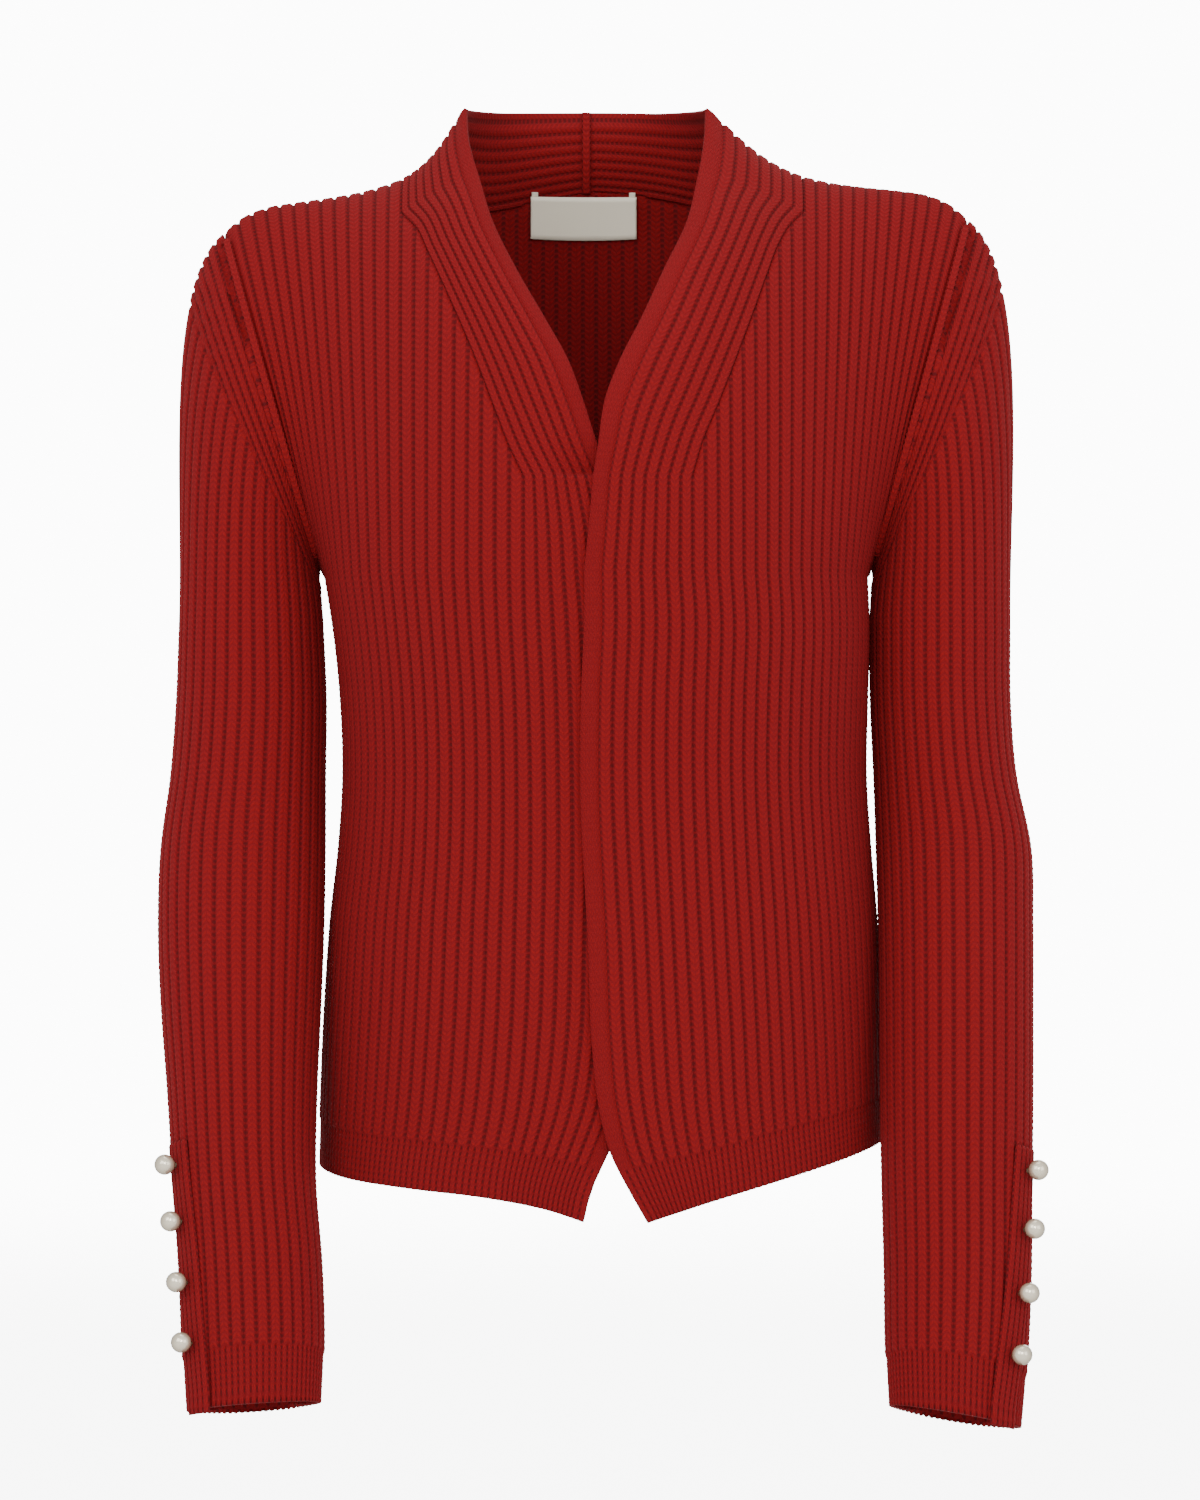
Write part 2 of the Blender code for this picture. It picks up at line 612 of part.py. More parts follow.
def collar_edge_curve(side):
    """Collar's top edge from its side to the middle of the back."""
    angle = np.linspace(0.0, math.pi / 2, 200)
    power = 2.0 / NECK_ROUNDNESS
    turn, deep = np.clip(np.cos(angle), 0, 1) ** power, np.sin(angle) ** power
    x = NECK_MIDDLE + side * COLLAR_HALF_WIDTH * turn
    y = COLLAR_SIDE_Y + (COLLAR_BACK_Y - COLLAR_SIDE_Y) * deep
    z = COLLAR_TOP[0] + (COLLAR_TOP[1] - COLLAR_TOP[0]) * deep
    return np.stack([x, y, z], axis=1)


def collar_base(side):
    """Collar's base beside the back neckline, corner to middle, with the back's own normals."""
    places = [side * column / BACK_RIBS for column in neck_columns(side)]
    places = np.array(places + [NECK_MIDDLE / SHOULDER_TIP])
    heights = np.array([back_column(place, 3)[-1] for place in places])
    points = torso_point(places, heights, 1)
    normals = torso_normal(places, heights, 1)
    along = unit(np.gradient(points, axis=0))
    inwards = unit(np.cross(normals, along))
    to_middle = np.array([NECK_MIDDLE, COLLAR_BACK_Y / 2, 0.0]) - points
    inwards *= np.sign(np.sum(inwards * to_middle, axis=1, keepdims=True))
    return (points + inwards * SEAM_GAP)[1:], normals[1:]


def make_front(side, cloth):
    """Front with its band and its half of the collar knitted in one."""
    wall = Wall()
    places, heights = lower_front(side)
    base = torso_point(places, heights, -1)
    normals = torso_normal(places, heights, -1)
    edge_rows = heights[:, -1] > UNDERARM
    rises = (heights[edge_rows, -1] - UNDERARM) / (NECK_TOP - UNDERARM)
    upper, between = upper_heights(side, places[-1, BAND_COLUMNS:])
    full = NECK_TOP - UNDERARM
    rises_below = np.linspace(0.0, rises[0], 4)[:-1]
    all_rises = np.concatenate((rises_below, rises, (np.array(upper[1:]) - UNDERARM) / full))
    edge = armhole(side, -1, all_rises)[len(rises_below):]
    edge_normals = armhole_normals(armhole(side, -1, all_rises), all_rises, side, -1)[len(rises_below):]
    count = len(rises)
    base[edge_rows, -1] = edge[:count]
    normals[edge_rows, -1] = edge_normals[:count]
    below = ~edge_rows
    base[below, -1, 1] = -SEAM_GAP / 2
    normals[below, -1, 1] = 0.0
    base[edge_rows, -1, 1] -= SEAM_GAP / 2
    normals = unit(normals)
    if side < 0:
        base[..., 1] += under_push(base)

    rows = []
    last = BAND_COLUMNS + PANEL_COLUMNS
    for i in range(len(FRONT_SHARES)):
        rise = FINE_RISE if i < FINE_ROWS else RIB_RISE
        row = []
        for j in range(last + 1):
            if j <= BAND_COLUMNS:
                lift = band_rise(BAND_COLUMNS - j) * rise / RIB_RISE
                twin = j in BAND_TWINS
            else:
                lift = rib(j - BAND_COLUMNS, rise)
                twin = (j - BAND_COLUMNS) % INNER_STEP == 0 or j == last
            row.append(wall.node(j, base[i, j], normals[i, j], lift, twin))
        rows.append(row)
    wall.patch(rows)

    # the panel above BAND_START: every step of the rows ends one more rib on the fashioning line
    panel_places = places[-1, BAND_COLUMNS:]
    lowest = rows[-1][BAND_COLUMNS:]
    shifted = [(node[0] - BAND_COLUMNS, node[1], node[2]) for node in lowest]
    stepped = [shifted]
    fashion = [(base[-1, BAND_COLUMNS], normals[-1, BAND_COLUMNS], shifted[0])]
    for k in range(1, len(upper)):
        first = min(2 * k, 2 * STEPPED_RIBS)
        columns = np.arange(first, PANEL_COLUMNS + 1)
        level = np.full(len(columns), upper[k])
        points = torso_point(panel_places[columns], level, -1)
        outwards = torso_normal(panel_places[columns], level, -1)
        points[-1] = edge[count + k - 1] - np.array([0.0, SEAM_GAP / 2, 0.0])
        outwards[-1] = edge_normals[count + k - 1]
        if k == len(upper) - 1:
            points[:, 1] = RIDGE_Y - SEAM_GAP / 2
            outwards[:, 1] = 0.0
            outwards = unit(outwards)
        row = []
        if k <= STEPPED_RIBS:
            column = 2 * k - 1
            point = torso_point(panel_places[column], between[k - 1], -1)
            outward = torso_normal(panel_places[column], between[k - 1], -1)
            node = wall.node(column, point, outward, rib(column, RIB_RISE), False)
            row.append(node)
            fashion.append((point, outward, node))
        for n, column in enumerate(columns):
            step = 2 if k == len(upper) - 1 else INNER_STEP
            kept = n == 0 or column % step == 0 or column == PANEL_COLUMNS
            twin = kept and k != len(upper) - 2
            row.append(wall.node(int(column), points[n], outwards[n], rib(column, RIB_RISE), twin))
        fashion.append((points[0], outwards[0], row[1] if k <= STEPPED_RIBS else row[0]))
        stepped.append(row)
    wall.patch(stepped, STEPPED_RIBS)
    make_collar(wall, side, rows[-1][:BAND_COLUMNS + 1], base[-1, :BAND_COLUMNS + 1], fashion)
    name = "front_left" if side > 0 else "front_right"
    return wall.build(name, cloth)


BLEND_ROWS = 5.0              # rows over which the band's curve takes over from the front's own


def make_collar(wall, side, first_row, first_points, fashion):
    """Band from BAND_START up the neckline, over the shoulder and round to the middle back."""
    neck_edge = neck_edge_curve(side, first_points[0])
    line = np.array([item[0] for item in fashion])
    along = distances(line)
    edge_points = resample(neck_edge, along / along[-1])
    back_points, back_normals = collar_base(side)
    way = distances(np.concatenate((line[-1:], back_points)))
    back_edge = resample(collar_edge_curve(side), way / way[-1])[1:]
    starts = np.concatenate((line, back_points))
    ends = np.concatenate((edge_points, back_edge))
    seam_normals = np.concatenate((np.array([item[1] for item in fashion]), back_normals))
    shares = band_shares()
    spans = ends - starts
    lengths = np.linalg.norm(spans, axis=1, keepdims=True)
    flat = spans - seam_normals * np.sum(spans * seam_normals, axis=1, keepdims=True)
    lead = unit(flat) * lengths * BAND_LEAD
    middle = starts + lead
    u = shares[None, :, None]
    grid = starts[:, None] * (1 - u) ** 2 + middle[:, None] * 2 * u * (1 - u) + ends[:, None] * u ** 2
    fade = ease(np.arange(len(grid)) / BLEND_ROWS)[:, None, None]
    offset = (first_points[::-1] - grid[0])[None] * (1 - fade)
    grid = grid + offset
    normals = grid_normals(grid) * -side
    normals[:len(fashion), 0] = seam_normals[:len(fashion)]
    normals[len(fashion):, 0] = unit(seam_normals[len(fashion):] * 2 + normals[len(fashion):, 0])
    grid[-1, :, 0] = NECK_MIDDLE + side * SEAM_GAP / 2
    normals[-1, :, 0] = 0.0
    normals = unit(normals)
    if side < 0:
        grid[1:len(fashion), 1:, 1] += under_push(grid[1:len(fashion), 1:])
    rows = [[(BAND_COLUMNS - node[0], node[1], node[2]) for node in reversed(first_row)]]
    for i in range(1, len(starts)):
        on_front = i < len(fashion)
        seam_node = fashion[i][2] if on_front else None
        whole_row = seam_node[2] is not None if on_front else True
        row = []
        for j in range(BAND_COLUMNS + 1):
            if j == 0 and on_front:
                row.append((0, seam_node[1], seam_node[2]))
                continue
            twin = whole_row and j in BAND_TWINS
            row.append(wall.node(j, grid[i, j], normals[i, j], band_rise(j), twin))
        rows.append(row)
    wall.patch(rows)


# ---------------------------------------------------------------- sleeves
SLEEVE_COLUMNS = 2 * SLEEVE_RIBS
HEAD_ROWS = 5
HEAD_FULLNESS = 0.62          # how strongly the sleeve's head leaves the armhole outwards
TUBE_HEIGHTS = (-0.232, -0.280, -0.330, -0.380, -0.430, -0.480, -0.530, -0.580, -0.606, -0.634)
SLEEVE_INNER_STEP = 4
VENT_COLUMN = 26              # half-rib column at which the cuff is slit
VENT_HALF_GAP = 0.0004
ELBOW = -0.350
SLOPE_START = -0.500          # height below which the rings slope like the cuff


def sleeve_drop(side, heights):
    """Extra length of a sleeve, spread below its elbow."""
    return CUFF_DROP[side] * ease((ELBOW - heights) / (ELBOW - TUBE_HEIGHTS[-1]))


def sleeve_tilt(heights):
    """Tilt of a ring: the forearm leans forward."""
    step = 0.004
    ahead = table_value(SLEEVE_RINGS, 5, heights - step)
    behind = table_value(SLEEVE_RINGS, 5, heights + step)
    return np.arctan2(behind - ahead, 2 * step)


def tube_point(side, around, height):
    """A point of the sleeve's tube: around 0 inner side, 0.25 front, 0.5 outer side, 0.75 back."""
    around, height = np.broadcast_arrays(np.asarray(around, float), np.asarray(height, float))
    columns = (1, 2, 5, 6) if side > 0 else (3, 4, 5, 6)
    inner, outer, depth, half_depth = (table_value(SLEEVE_RINGS, c, height) for c in columns)
    centre = (inner + outer) / 2
    half_width = (outer - inner) / 2
    angle = 2 * math.pi * around
    tilt = sleeve_tilt(height)
    across = centre - half_width * np.cos(angle)
    reach = -half_depth * np.sin(angle)
    x = side * across
    y = depth + reach * np.cos(tilt)
    slope = CUFF_SLOPE[side] * ease((SLOPE_START - height) / (SLOPE_START - TUBE_HEIGHTS[-1]))
    z = height - sleeve_drop(side, height) - reach * np.sin(tilt) - slope * (across - centre)
    return np.stack([x, y, z], axis=-1)


def armhole_loop(side, around):
    """Points and normals of the armhole at places round the sleeve."""
    rises = np.sin(np.linspace(0.0, math.pi / 2, 300))
    points, normals = [], []
    for face in (-1, 1):
        edge = armhole(side, face, rises)
        edge_normals = armhole_normals(edge, rises, side, face)
        along = distances(edge)
        along = along / along[-1] / 2
        if face > 0:
            along = 1 - along[::-1]
            edge, edge_normals = edge[::-1], edge_normals[::-1]
        picked = (around < 0.5) if face < 0 else (around >= 0.5)
        at = around[picked]
        for values, found in ((edge, points), (edge_normals, normals)):
            found.append(np.stack([np.interp(at, along, values[:, c]) for c in range(3)], axis=1))
    return np.concatenate(points), unit(np.concatenate(normals))


def sleeve_grid(side):
    """Base points and normals of a sleeve, armhole first, column 0 at the vent."""
    columns = np.arange(SLEEVE_COLUMNS + 1) + VENT_COLUMN
    around = (columns % SLEEVE_COLUMNS) / SLEEVE_COLUMNS
    order = np.argsort(around, kind="stable")
    sorted_points, sorted_normals = armhole_loop(side, around[order])
    seam, seam_normals = np.empty_like(sorted_points), np.empty_like(sorted_normals)
    seam[order], seam_normals[order] = sorted_points, sorted_normals
    seam = seam + np.array([side * ARMHOLE_GAP, 0.0, 0.0])
    ring = tube_point(side, around, TUBE_HEIGHTS[0])
    next_ring = tube_point(side, around, TUBE_HEIGHTS[1])
    reach = np.linalg.norm(ring - seam, axis=1, keepdims=True)
    outer = np.sin(math.pi * around) ** 2
    fullness = np.stack([
        side * (0.35 + 0.50 * outer), -0.30 * np.sin(2 * math.pi * around), -1 + 0.25 * outer], axis=1)
    leave = HEAD_FULLNESS * unit(fullness)
    arrive = unit(next_ring - ring)
    rows = []
    for u in np.linspace(0.0, 1.0, HEAD_ROWS + 1)[:-1]:
        rise = u * u * (3 - 2 * u)
        rows.append(seam * (1 - rise) + ring * rise
                    + leave * reach * u * (1 - u) ** 2 - arrive * reach * u * u * (1 - u))
    rows += [tube_point(side, around, height) for height in TUBE_HEIGHTS]
    grid = np.array(rows)
    wrapped = np.concatenate((grid[:, -2:-1], grid, grid[:, 1:2]), axis=1)
    normals = grid_normals(wrapped)[:, 1:-1] * -side
    normals[0] = seam_normals
    return grid, normals


def make_sleeve(side, cloth):
    """Sleeve in one tube, slit at the cuff."""
    wall = Wall()
    grid, normals = sleeve_grid(side)
    slit = np.array(TUBE_HEIGHTS) < TUBE_HEIGHTS[-1] + VENT_LENGTH
    slit_rows = HEAD_ROWS + np.flatnonzero(slit)
    inner_rows = set(range(HEAD_ROWS + 1)) | set(range(0, len(grid), 2))
    inner_rows |= {slit_rows[0] - 1, slit_rows[0], len(grid) - 1}
    rows = []
    for i in range(len(grid)):
        rise = FINE_RISE if i >= len(grid) - 2 else RIB_RISE
        row = []
        for j in range(SLEEVE_COLUMNS + 1):
            point = grid[i, j].copy()
            if i in slit_rows and j in (0, SLEEVE_COLUMNS):
                inward = grid[i, 1 if j == 0 else SLEEVE_COLUMNS - 1] - point
                point = point + unit(inward) * VENT_HALF_GAP
            if j == SLEEVE_COLUMNS and i not in slit_rows:
                row.append((j, row[0][1], row[0][2]))
                continue
            twin = j % SLEEVE_INNER_STEP == 0 and i in inner_rows
            row.append(wall.node(j, point, normals[i, j], rib(j, rise), twin))
        rows.append(row)
    wall.patch(rows)
    name = "sleeve_left" if side > 0 else "sleeve_right"
    return wall.build(name, cloth)


def cuff_surface(side, around, height):
    """Valley surface and normal of the sleeve near its cuff."""
    point = tube_point(side, around, height)
    round_step = tube_point(side, around + 0.002, height) - tube_point(side, around - 0.002, height)
    down_step = tube_point(side, around, height - 0.002) - tube_point(side, around, height + 0.002)
    normal = unit(np.cross(round_step, down_step)) * -side
    return point, normal


PLACKET_LIFT = RIB_RISE + LAP_CLEARANCE + WALL    # from the sleeve's valleys to the placket's face


def placket_place(side, height):
    """Middle of the placket round the sleeve; it runs a little forward towards the cuff."""
    top, cuff = PLACKET_PLACES[side]
    return cuff + (top - cuff) * (height - TUBE_HEIGHTS[-1]) / VENT_LENGTH


def make_placket(side, cloth):
    """Plain strip that lies over the slit."""
    wall = Wall()
    bottom = TUBE_HEIGHTS[-1] - PLACKET_REACH
    heights = np.linspace(bottom, TUBE_HEIGHTS[-1] + VENT_LENGTH, 9)
    half = PLACKET_WIDTH / 2 / CUFF_GIRTH
    rows = []
    for height in heights:
        row = []
        for k, offset in enumerate(np.linspace(-half, half, 3)):
            level = max(height, SLEEVE_RINGS[-1][0])
            point, normal = cuff_surface(side, placket_place(side, level) + offset, level)
            drop = min(0.0, height - SLEEVE_RINGS[-1][0])
            lifted = point + normal * PLACKET_LIFT + np.array([0.0, 0.0, drop])
            row.append(wall.node(k, lifted, normal, 0.0, True))
        rows.append(row)
    wall.patch(rows)
    return wall.build("placket_left" if side > 0 else "placket_right", cloth)


def make_button(side, number, place, pearl):
    """Pearl on its shank, turned round one profile."""
    height = TUBE_HEIGHTS[-1] + VENT_LENGTH - place
    point, normal = cuff_surface(side, placket_place(side, height), height)
    seat = point + normal * (PLACKET_LIFT + SEAM_GAP)
    start = math.asin(SHANK_RADIUS / PEARL_RADIUS)
    centre = SHANK_HEIGHT + PEARL_RADIUS * math.cos(start)
    profile = [(SHANK_RADIUS, 0.0), (SHANK_RADIUS, SHANK_HEIGHT)]
    for angle in np.linspace(start, math.pi, 8)[1:-1]:
        profile.append((PEARL_RADIUS * math.sin(angle), centre - PEARL_RADIUS * math.cos(angle)))
    side_axis = unit(np.cross(normal, np.array([0.0, 0.0, 1.0])))
    up_axis = np.cross(side_axis, normal)
    turns = 10
    points, faces = [seat], []
    for radius, along in profile:
        for turn in np.linspace(0.0, 2 * math.pi, turns, endpoint=False):
            points.append(seat + normal * along
                          + radius * (side_axis * math.cos(turn) + up_axis * math.sin(turn)))
    points.append(seat + normal * (centre + PEARL_RADIUS))
    for t in range(turns):
        n = (t + 1) % turns
        faces.append((0, 1 + t, 1 + n))
        for ring in range(len(profile) - 1):
            a = 1 + ring * turns
            faces.append((a + t, a + turns + t, a + turns + n, a + n))
        a = 1 + (len(profile) - 1) * turns
        faces.append((a + t, len(points) - 1, a + n))
    name = f"button_{'left' if side > 0 else 'right'}_{number}"
    return mesh_object(name, points, faces, pearl)


LABEL_SEARCH = np.linspace(-0.08, 0.030, 200)     # heights between which the label's points lie


def make_label(woven):
    """Bare label against the inside of the back, below the collar's seam."""
    wall = Wall()
    width, height, thickness = LABEL_SIZE
    rows = []
    for level in np.linspace(LABEL_MIDDLE[1] - height / 2, LABEL_MIDDLE[1] + height / 2, 3):
        row = []
        for k, x in enumerate(np.linspace(LABEL_MIDDLE[0] - width / 2, LABEL_MIDDLE[0] + width / 2, 9)):
            points = torso_point(x / SHOULDER_TIP, LABEL_SEARCH, 1)
            share = np.interp(level, points[:, 2], LABEL_SEARCH)
            point = torso_point(x / SHOULDER_TIP, share, 1)
            normal = torso_normal(x / SHOULDER_TIP, share, 1)
            face = point - normal * (WALL + LABEL_CLEARANCE)
            outer, inner = wall.add(face), wall.add(face - normal * thickness)
            wall.twin[outer] = inner
            row.append((k, outer, inner))
        rows.append(row)
    wall.patch(rows)
    return wall.build("label", woven)


def close_faces(item):
    """Turn every face of a closed body outwards."""
    shape = bmesh.new()
    shape.from_mesh(item.data)
    bmesh.ops.recalc_face_normals(shape, faces=shape.faces)
    if shape.calc_volume(signed=True) < 0:
        bmesh.ops.reverse_faces(shape, faces=shape.faces)
    shape.to_mesh(item.data)
    shape.free()


def main():
    """Clear the scene and build every piece."""
    for item in list(bpy.data.objects):
        bpy.data.objects.remove(item, do_unlink=True)
    pieces = [make_back(material("back_knit", RED, 0.85))]
    for side, word in ((1, "left"), (-1, "right")):
        pieces.append(make_front(side, material(f"front_{word}_knit", RED, 0.85)))
        pieces.append(make_sleeve(side, material(f"sleeve_{word}_knit", RED, 0.85)))
        pieces.append(make_placket(side, material(f"placket_{word}_knit", DEEP_RED, 0.85)))
        for number, place in enumerate(BUTTON_PLACES, start=1):
            pearl = material(f"button_{word}_{number}_pearl", PEARL, 0.25)
            pieces.append(make_button(side, number, place, pearl))
    pieces.append(make_label(material("label_satin", CREAM, 0.55)))
    for item in pieces:
        close_faces(item)


main()
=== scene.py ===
"""Looks of the open-front rib-knit blazer: ribbed wool shells, pearl buttons and a satin label.

Metres, +Z up, front towards -Y, wearer's left towards +X. The shells grow on the solids' own curves.
"""
import math

import bmesh
import bpy
import numpy as np
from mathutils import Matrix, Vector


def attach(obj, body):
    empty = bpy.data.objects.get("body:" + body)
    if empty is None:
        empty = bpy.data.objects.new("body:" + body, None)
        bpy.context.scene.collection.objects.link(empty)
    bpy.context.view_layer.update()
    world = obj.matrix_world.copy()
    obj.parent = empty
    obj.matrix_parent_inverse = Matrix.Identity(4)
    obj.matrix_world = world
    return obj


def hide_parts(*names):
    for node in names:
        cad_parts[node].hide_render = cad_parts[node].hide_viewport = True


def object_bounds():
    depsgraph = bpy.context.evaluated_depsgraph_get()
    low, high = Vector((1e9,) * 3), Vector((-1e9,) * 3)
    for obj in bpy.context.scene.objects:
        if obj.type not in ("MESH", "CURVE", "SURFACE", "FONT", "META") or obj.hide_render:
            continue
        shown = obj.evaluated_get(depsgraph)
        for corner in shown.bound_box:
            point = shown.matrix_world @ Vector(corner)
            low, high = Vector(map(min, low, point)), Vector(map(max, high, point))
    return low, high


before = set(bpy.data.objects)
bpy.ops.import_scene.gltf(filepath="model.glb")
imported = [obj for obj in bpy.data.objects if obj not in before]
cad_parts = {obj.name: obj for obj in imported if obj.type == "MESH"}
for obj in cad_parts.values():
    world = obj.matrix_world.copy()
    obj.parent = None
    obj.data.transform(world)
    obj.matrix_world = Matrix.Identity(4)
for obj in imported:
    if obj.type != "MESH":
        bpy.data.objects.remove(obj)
cad_low, cad_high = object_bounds()


# ---------------------------------------------------------------- floor, light and camera
# A white studio: a plain floor that fades into the backdrop, and soft boxes on both sides, in front, above
# and behind. The camera stands level with the waist, far enough off to flatten the picture.
PICTURE_WIDTH = 0.636          # metres across the picture at the garment's middle
CAMERA_PLACE = (0.0021, -3.0, -0.3074)
SENSOR_WIDTH = 36.0
PICTURE_SHIFT = 20 / 1200      # the picture's middle lies a little above the camera's height
FLOOR_DROP = 0.05
FLOOR_RADIUS = 2.5
FLOOR_FADE = (0.35, 0.98)      # where the floor starts and ends to fade, in shares of its radius
STUDIO_WHITE = "ffffff"
WORLD_LIGHT = 0.9
BACKDROP_LIGHT = 12.0          # the backdrop itself is lit past white
FLOOR_SHOWING = 0.35           # how much of the white floor shows over the backdrop
LIGHT_TARGET = (0, 0, -0.3)
# Soft boxes: place, size, watts
SOFT_BOXES = (
    ((-1.5, -2.2, 0.9), 1.6, 26.0),
    ((1.9, -2.0, 0.3), 1.6, 16.0),
    ((0.1, -3.3, 0.8), 1.2, 34.0),
    ((0.1, 0.2, 2.0), 1.4, 14.0),
    ((0.6, 2.4, 0.5), 1.6, 26.0),
)


def linear(text):
    """Colour from sRGB hex digits, as a linear colour."""
    parts = [int(text[i:i + 2], 16) / 255 for i in (0, 2, 4)]
    return (*[c / 12.92 if c <= 0.04045 else ((c + 0.055) / 1.055) ** 2.4 for c in parts], 1.0)


def add_node(tree, kind, inputs=None, **settings):
    """Node with its settings; an input given as a socket is linked, any other value is set."""
    node = tree.nodes.new("ShaderNode" + kind)
    for name, value in settings.items():
        setattr(node, name, value)
    for name, value in (inputs or {}).items():
        if isinstance(value, bpy.types.NodeSocket):
            tree.links.new(value, node.inputs[name])
        else:
            node.inputs[name].default_value = value
    return node


def new_material(name):
    """Material with an empty tree and its output node."""
    made = bpy.data.materials.new(name)
    made.use_nodes = True
    made.node_tree.nodes.clear()
    return made, made.node_tree


def finish_material(tree, shader):
    """Link a shader to the material's output."""
    output = add_node(tree, "OutputMaterial")
    tree.links.new(shader.outputs[0], output.inputs[0])


def aim(item, target):
    """Turn a light towards a point."""
    direction = Vector(target) - item.location
    item.rotation_euler = direction.to_track_quat("-Z", "Y").to_euler()


bpy.ops.mesh.primitive_circle_add(vertices=96, radius=FLOOR_RADIUS, fill_type="NGON",
                                  location=(0, 0, cad_low.z - FLOOR_DROP))
floor = bpy.context.object
floor.name = "floor"
floor_paint, tree = new_material("studio floor")
place = add_node(tree, "TexCoord").outputs["Object"]
away = add_node(tree, "VectorMath", {0: place}, operation="LENGTH").outputs["Value"]
fade_start, fade_end = (share * FLOOR_RADIUS for share in FLOOR_FADE)
fade = add_node(tree, "MapRange", {0: away, 1: fade_start, 2: fade_end, 3: 1 - FLOOR_SHOWING, 4: 1.0},
                interpolation_type="SMOOTHSTEP").outputs[0]
matt = add_node(tree, "BsdfDiffuse", {0: linear(STUDIO_WHITE)})
clear = add_node(tree, "BsdfTransparent")
finish_material(tree, add_node(tree, "MixShader", {0: fade, 1: matt.outputs[0], 2: clear.outputs[0]}))
floor.data.materials.append(floor_paint)

world = bpy.data.worlds.new("studio")
world.use_nodes = True
tree = world.node_tree
seen = add_node(tree, "LightPath").outputs["Is Camera Ray"]
bright = add_node(tree, "MapRange", {0: seen, 3: WORLD_LIGHT, 4: BACKDROP_LIGHT}).outputs[0]
tree.nodes["Background"].inputs[0].default_value = linear(STUDIO_WHITE)
tree.links.new(bright, tree.nodes["Background"].inputs[1])
bpy.context.scene.world = world

for number, (spot, size, power) in enumerate(SOFT_BOXES, start=1):
    lamp = bpy.data.lights.new(f"soft box {number}", "AREA")
    lamp.energy = power
    lamp.size = size
    item = bpy.data.objects.new(lamp.name, lamp)
    item.location = spot
    bpy.context.scene.collection.objects.link(item)
    aim(item, LIGHT_TARGET)

camera_data = bpy.data.cameras.new("camera")
camera_data.sensor_fit = "HORIZONTAL"
camera_data.sensor_width = SENSOR_WIDTH
camera_data.lens = SENSOR_WIDTH * -CAMERA_PLACE[1] / PICTURE_WIDTH
camera_data.shift_y = PICTURE_SHIFT
camera = bpy.data.objects.new("camera", camera_data)
camera.location = CAMERA_PLACE
camera.rotation_euler = (math.pi / 2, 0, 0)
bpy.context.scene.collection.objects.link(camera)
bpy.context.scene.camera = camera


# ---------------------------------------------------------------- back
# One panel of thick ribbed wool, knitted from side seam to side seam, with a finer rib as its hem. Its
# shoulders are linked to the fronts and its neckline to the collar.
WALL = 0.0020                  # cloth thickness in a rib's valley
RIB_RISE = 0.0015              # height of a rib over its valleys
FINE_RISE = 0.0008             # the same in the finer rib
COURSE = 0.0032                # height of one stitch
FINE_BAND = 0.026              # depth of the hem's and the cuffs' finer rib
SEAM_GAP = 0.0003              # gap between two pieces that are joined
ROUNDNESS = 2.25               # power of the torso's outline; 2 would be an ellipse
UNDERARM = -0.205
NECK_TOP = 0.035
SHOULDER_TIP = 0.197           # half the width at the shoulders
ARMHOLE_HOLLOW = {-1: 0.034, 1: 0.024}      # depth added to the armhole, front and back
HOLLOW_POWERS = (0.75, 6)      # how it swells along the armhole, and dies away towards the middle
ARMHOLE_LIP = 0.0030           # how far the panels stand out and up under the arm
SHOULDER_DROP = 0.0035         # the left shoulder lies higher by this, the right one lower
RIDGE_Y = 0.005                # depth of the shoulder seams
BACK_RIBS = 54
BACK_STEPS = (0.0, 0.2, 0.4, 0.6, 0.8)       # places of the points across a rib
BACK_NECK = (0.0050, 0.0806)   # depth of the back neckline at its corners and in the middle
NECK_MIDDLE = -0.0055
NECK_ROUNDNESS = 2.3
NECK_CORNER = {1: 30 / BACK_RIBS * SHOULDER_TIP, -1: 28 / BACK_RIBS * SHOULDER_TIP}
NECK_SEARCH = -0.06            # the neckline is looked for above this height
UPPER_BACK = 0.226             # cloth length from the underarm to the shoulder
UPRIGHT_ENDS = (0.08, 0.04)    # shares of the armhole over which its normals turn upright at either end
MEETING_RIBS = 1.5             # ribs of a panel that bend to the armhole's lip
CURVE_POINTS = 400             # points of a curve before it is spaced evenly
INSIDE_STEP = 6                # the inside has every sixth row
INSIDE_WAVE = (0.0005, -0.0003)      # further in behind a valley, further out behind a crest
# A rib's relief: share of its half width that slopes, level of the crest, swell of the stitches, depth and
# half width of the groove between its two strands, and dip of the valleys in metres
RIB_SLOPE = 0.42
CREST_LEVEL = 0.94
STITCH_SWELL = 0.09
GROOVE_DEPTH = 0.10
GROOVE_WIDTH = 0.4
VALLEY_DIP = 0.00025
# Torso rings: height, middle, half width, front depth, back depth
TORSO_RINGS = (
    (-0.550, 0.0030, 0.1495, 0.1150, 0.1030),
    (-0.505, 0.0030, 0.1485, 0.1140, 0.1020),
    (-0.420, 0.0035, 0.1455, 0.1100, 0.0985),
    (-0.385, 0.0040, 0.1435, 0.1080, 0.0970),
    (-0.350, 0.0045, 0.1400, 0.1070, 0.0955),
    (-0.310, 0.0045, 0.1375, 0.1075, 0.0945),
    (-0.270, 0.0042, 0.1385, 0.1105, 0.0945),
    (-0.230, 0.0025, 0.1410, 0.1127, 0.0952),
    (-0.205, 0.0000, 0.1425, 0.1130, 0.0955),
)
# Shoulder line: distance from the middle, height
SHOULDER_LINE = (
    (0.000, 0.0350), (0.050, 0.0300), (0.080, 0.0200), (0.104, 0.0065), (0.120, 0.0015),
    (0.140, -0.0020), (0.160, -0.0045), (0.175, -0.0070), (0.187, -0.0120), (0.197, -0.0200),
)
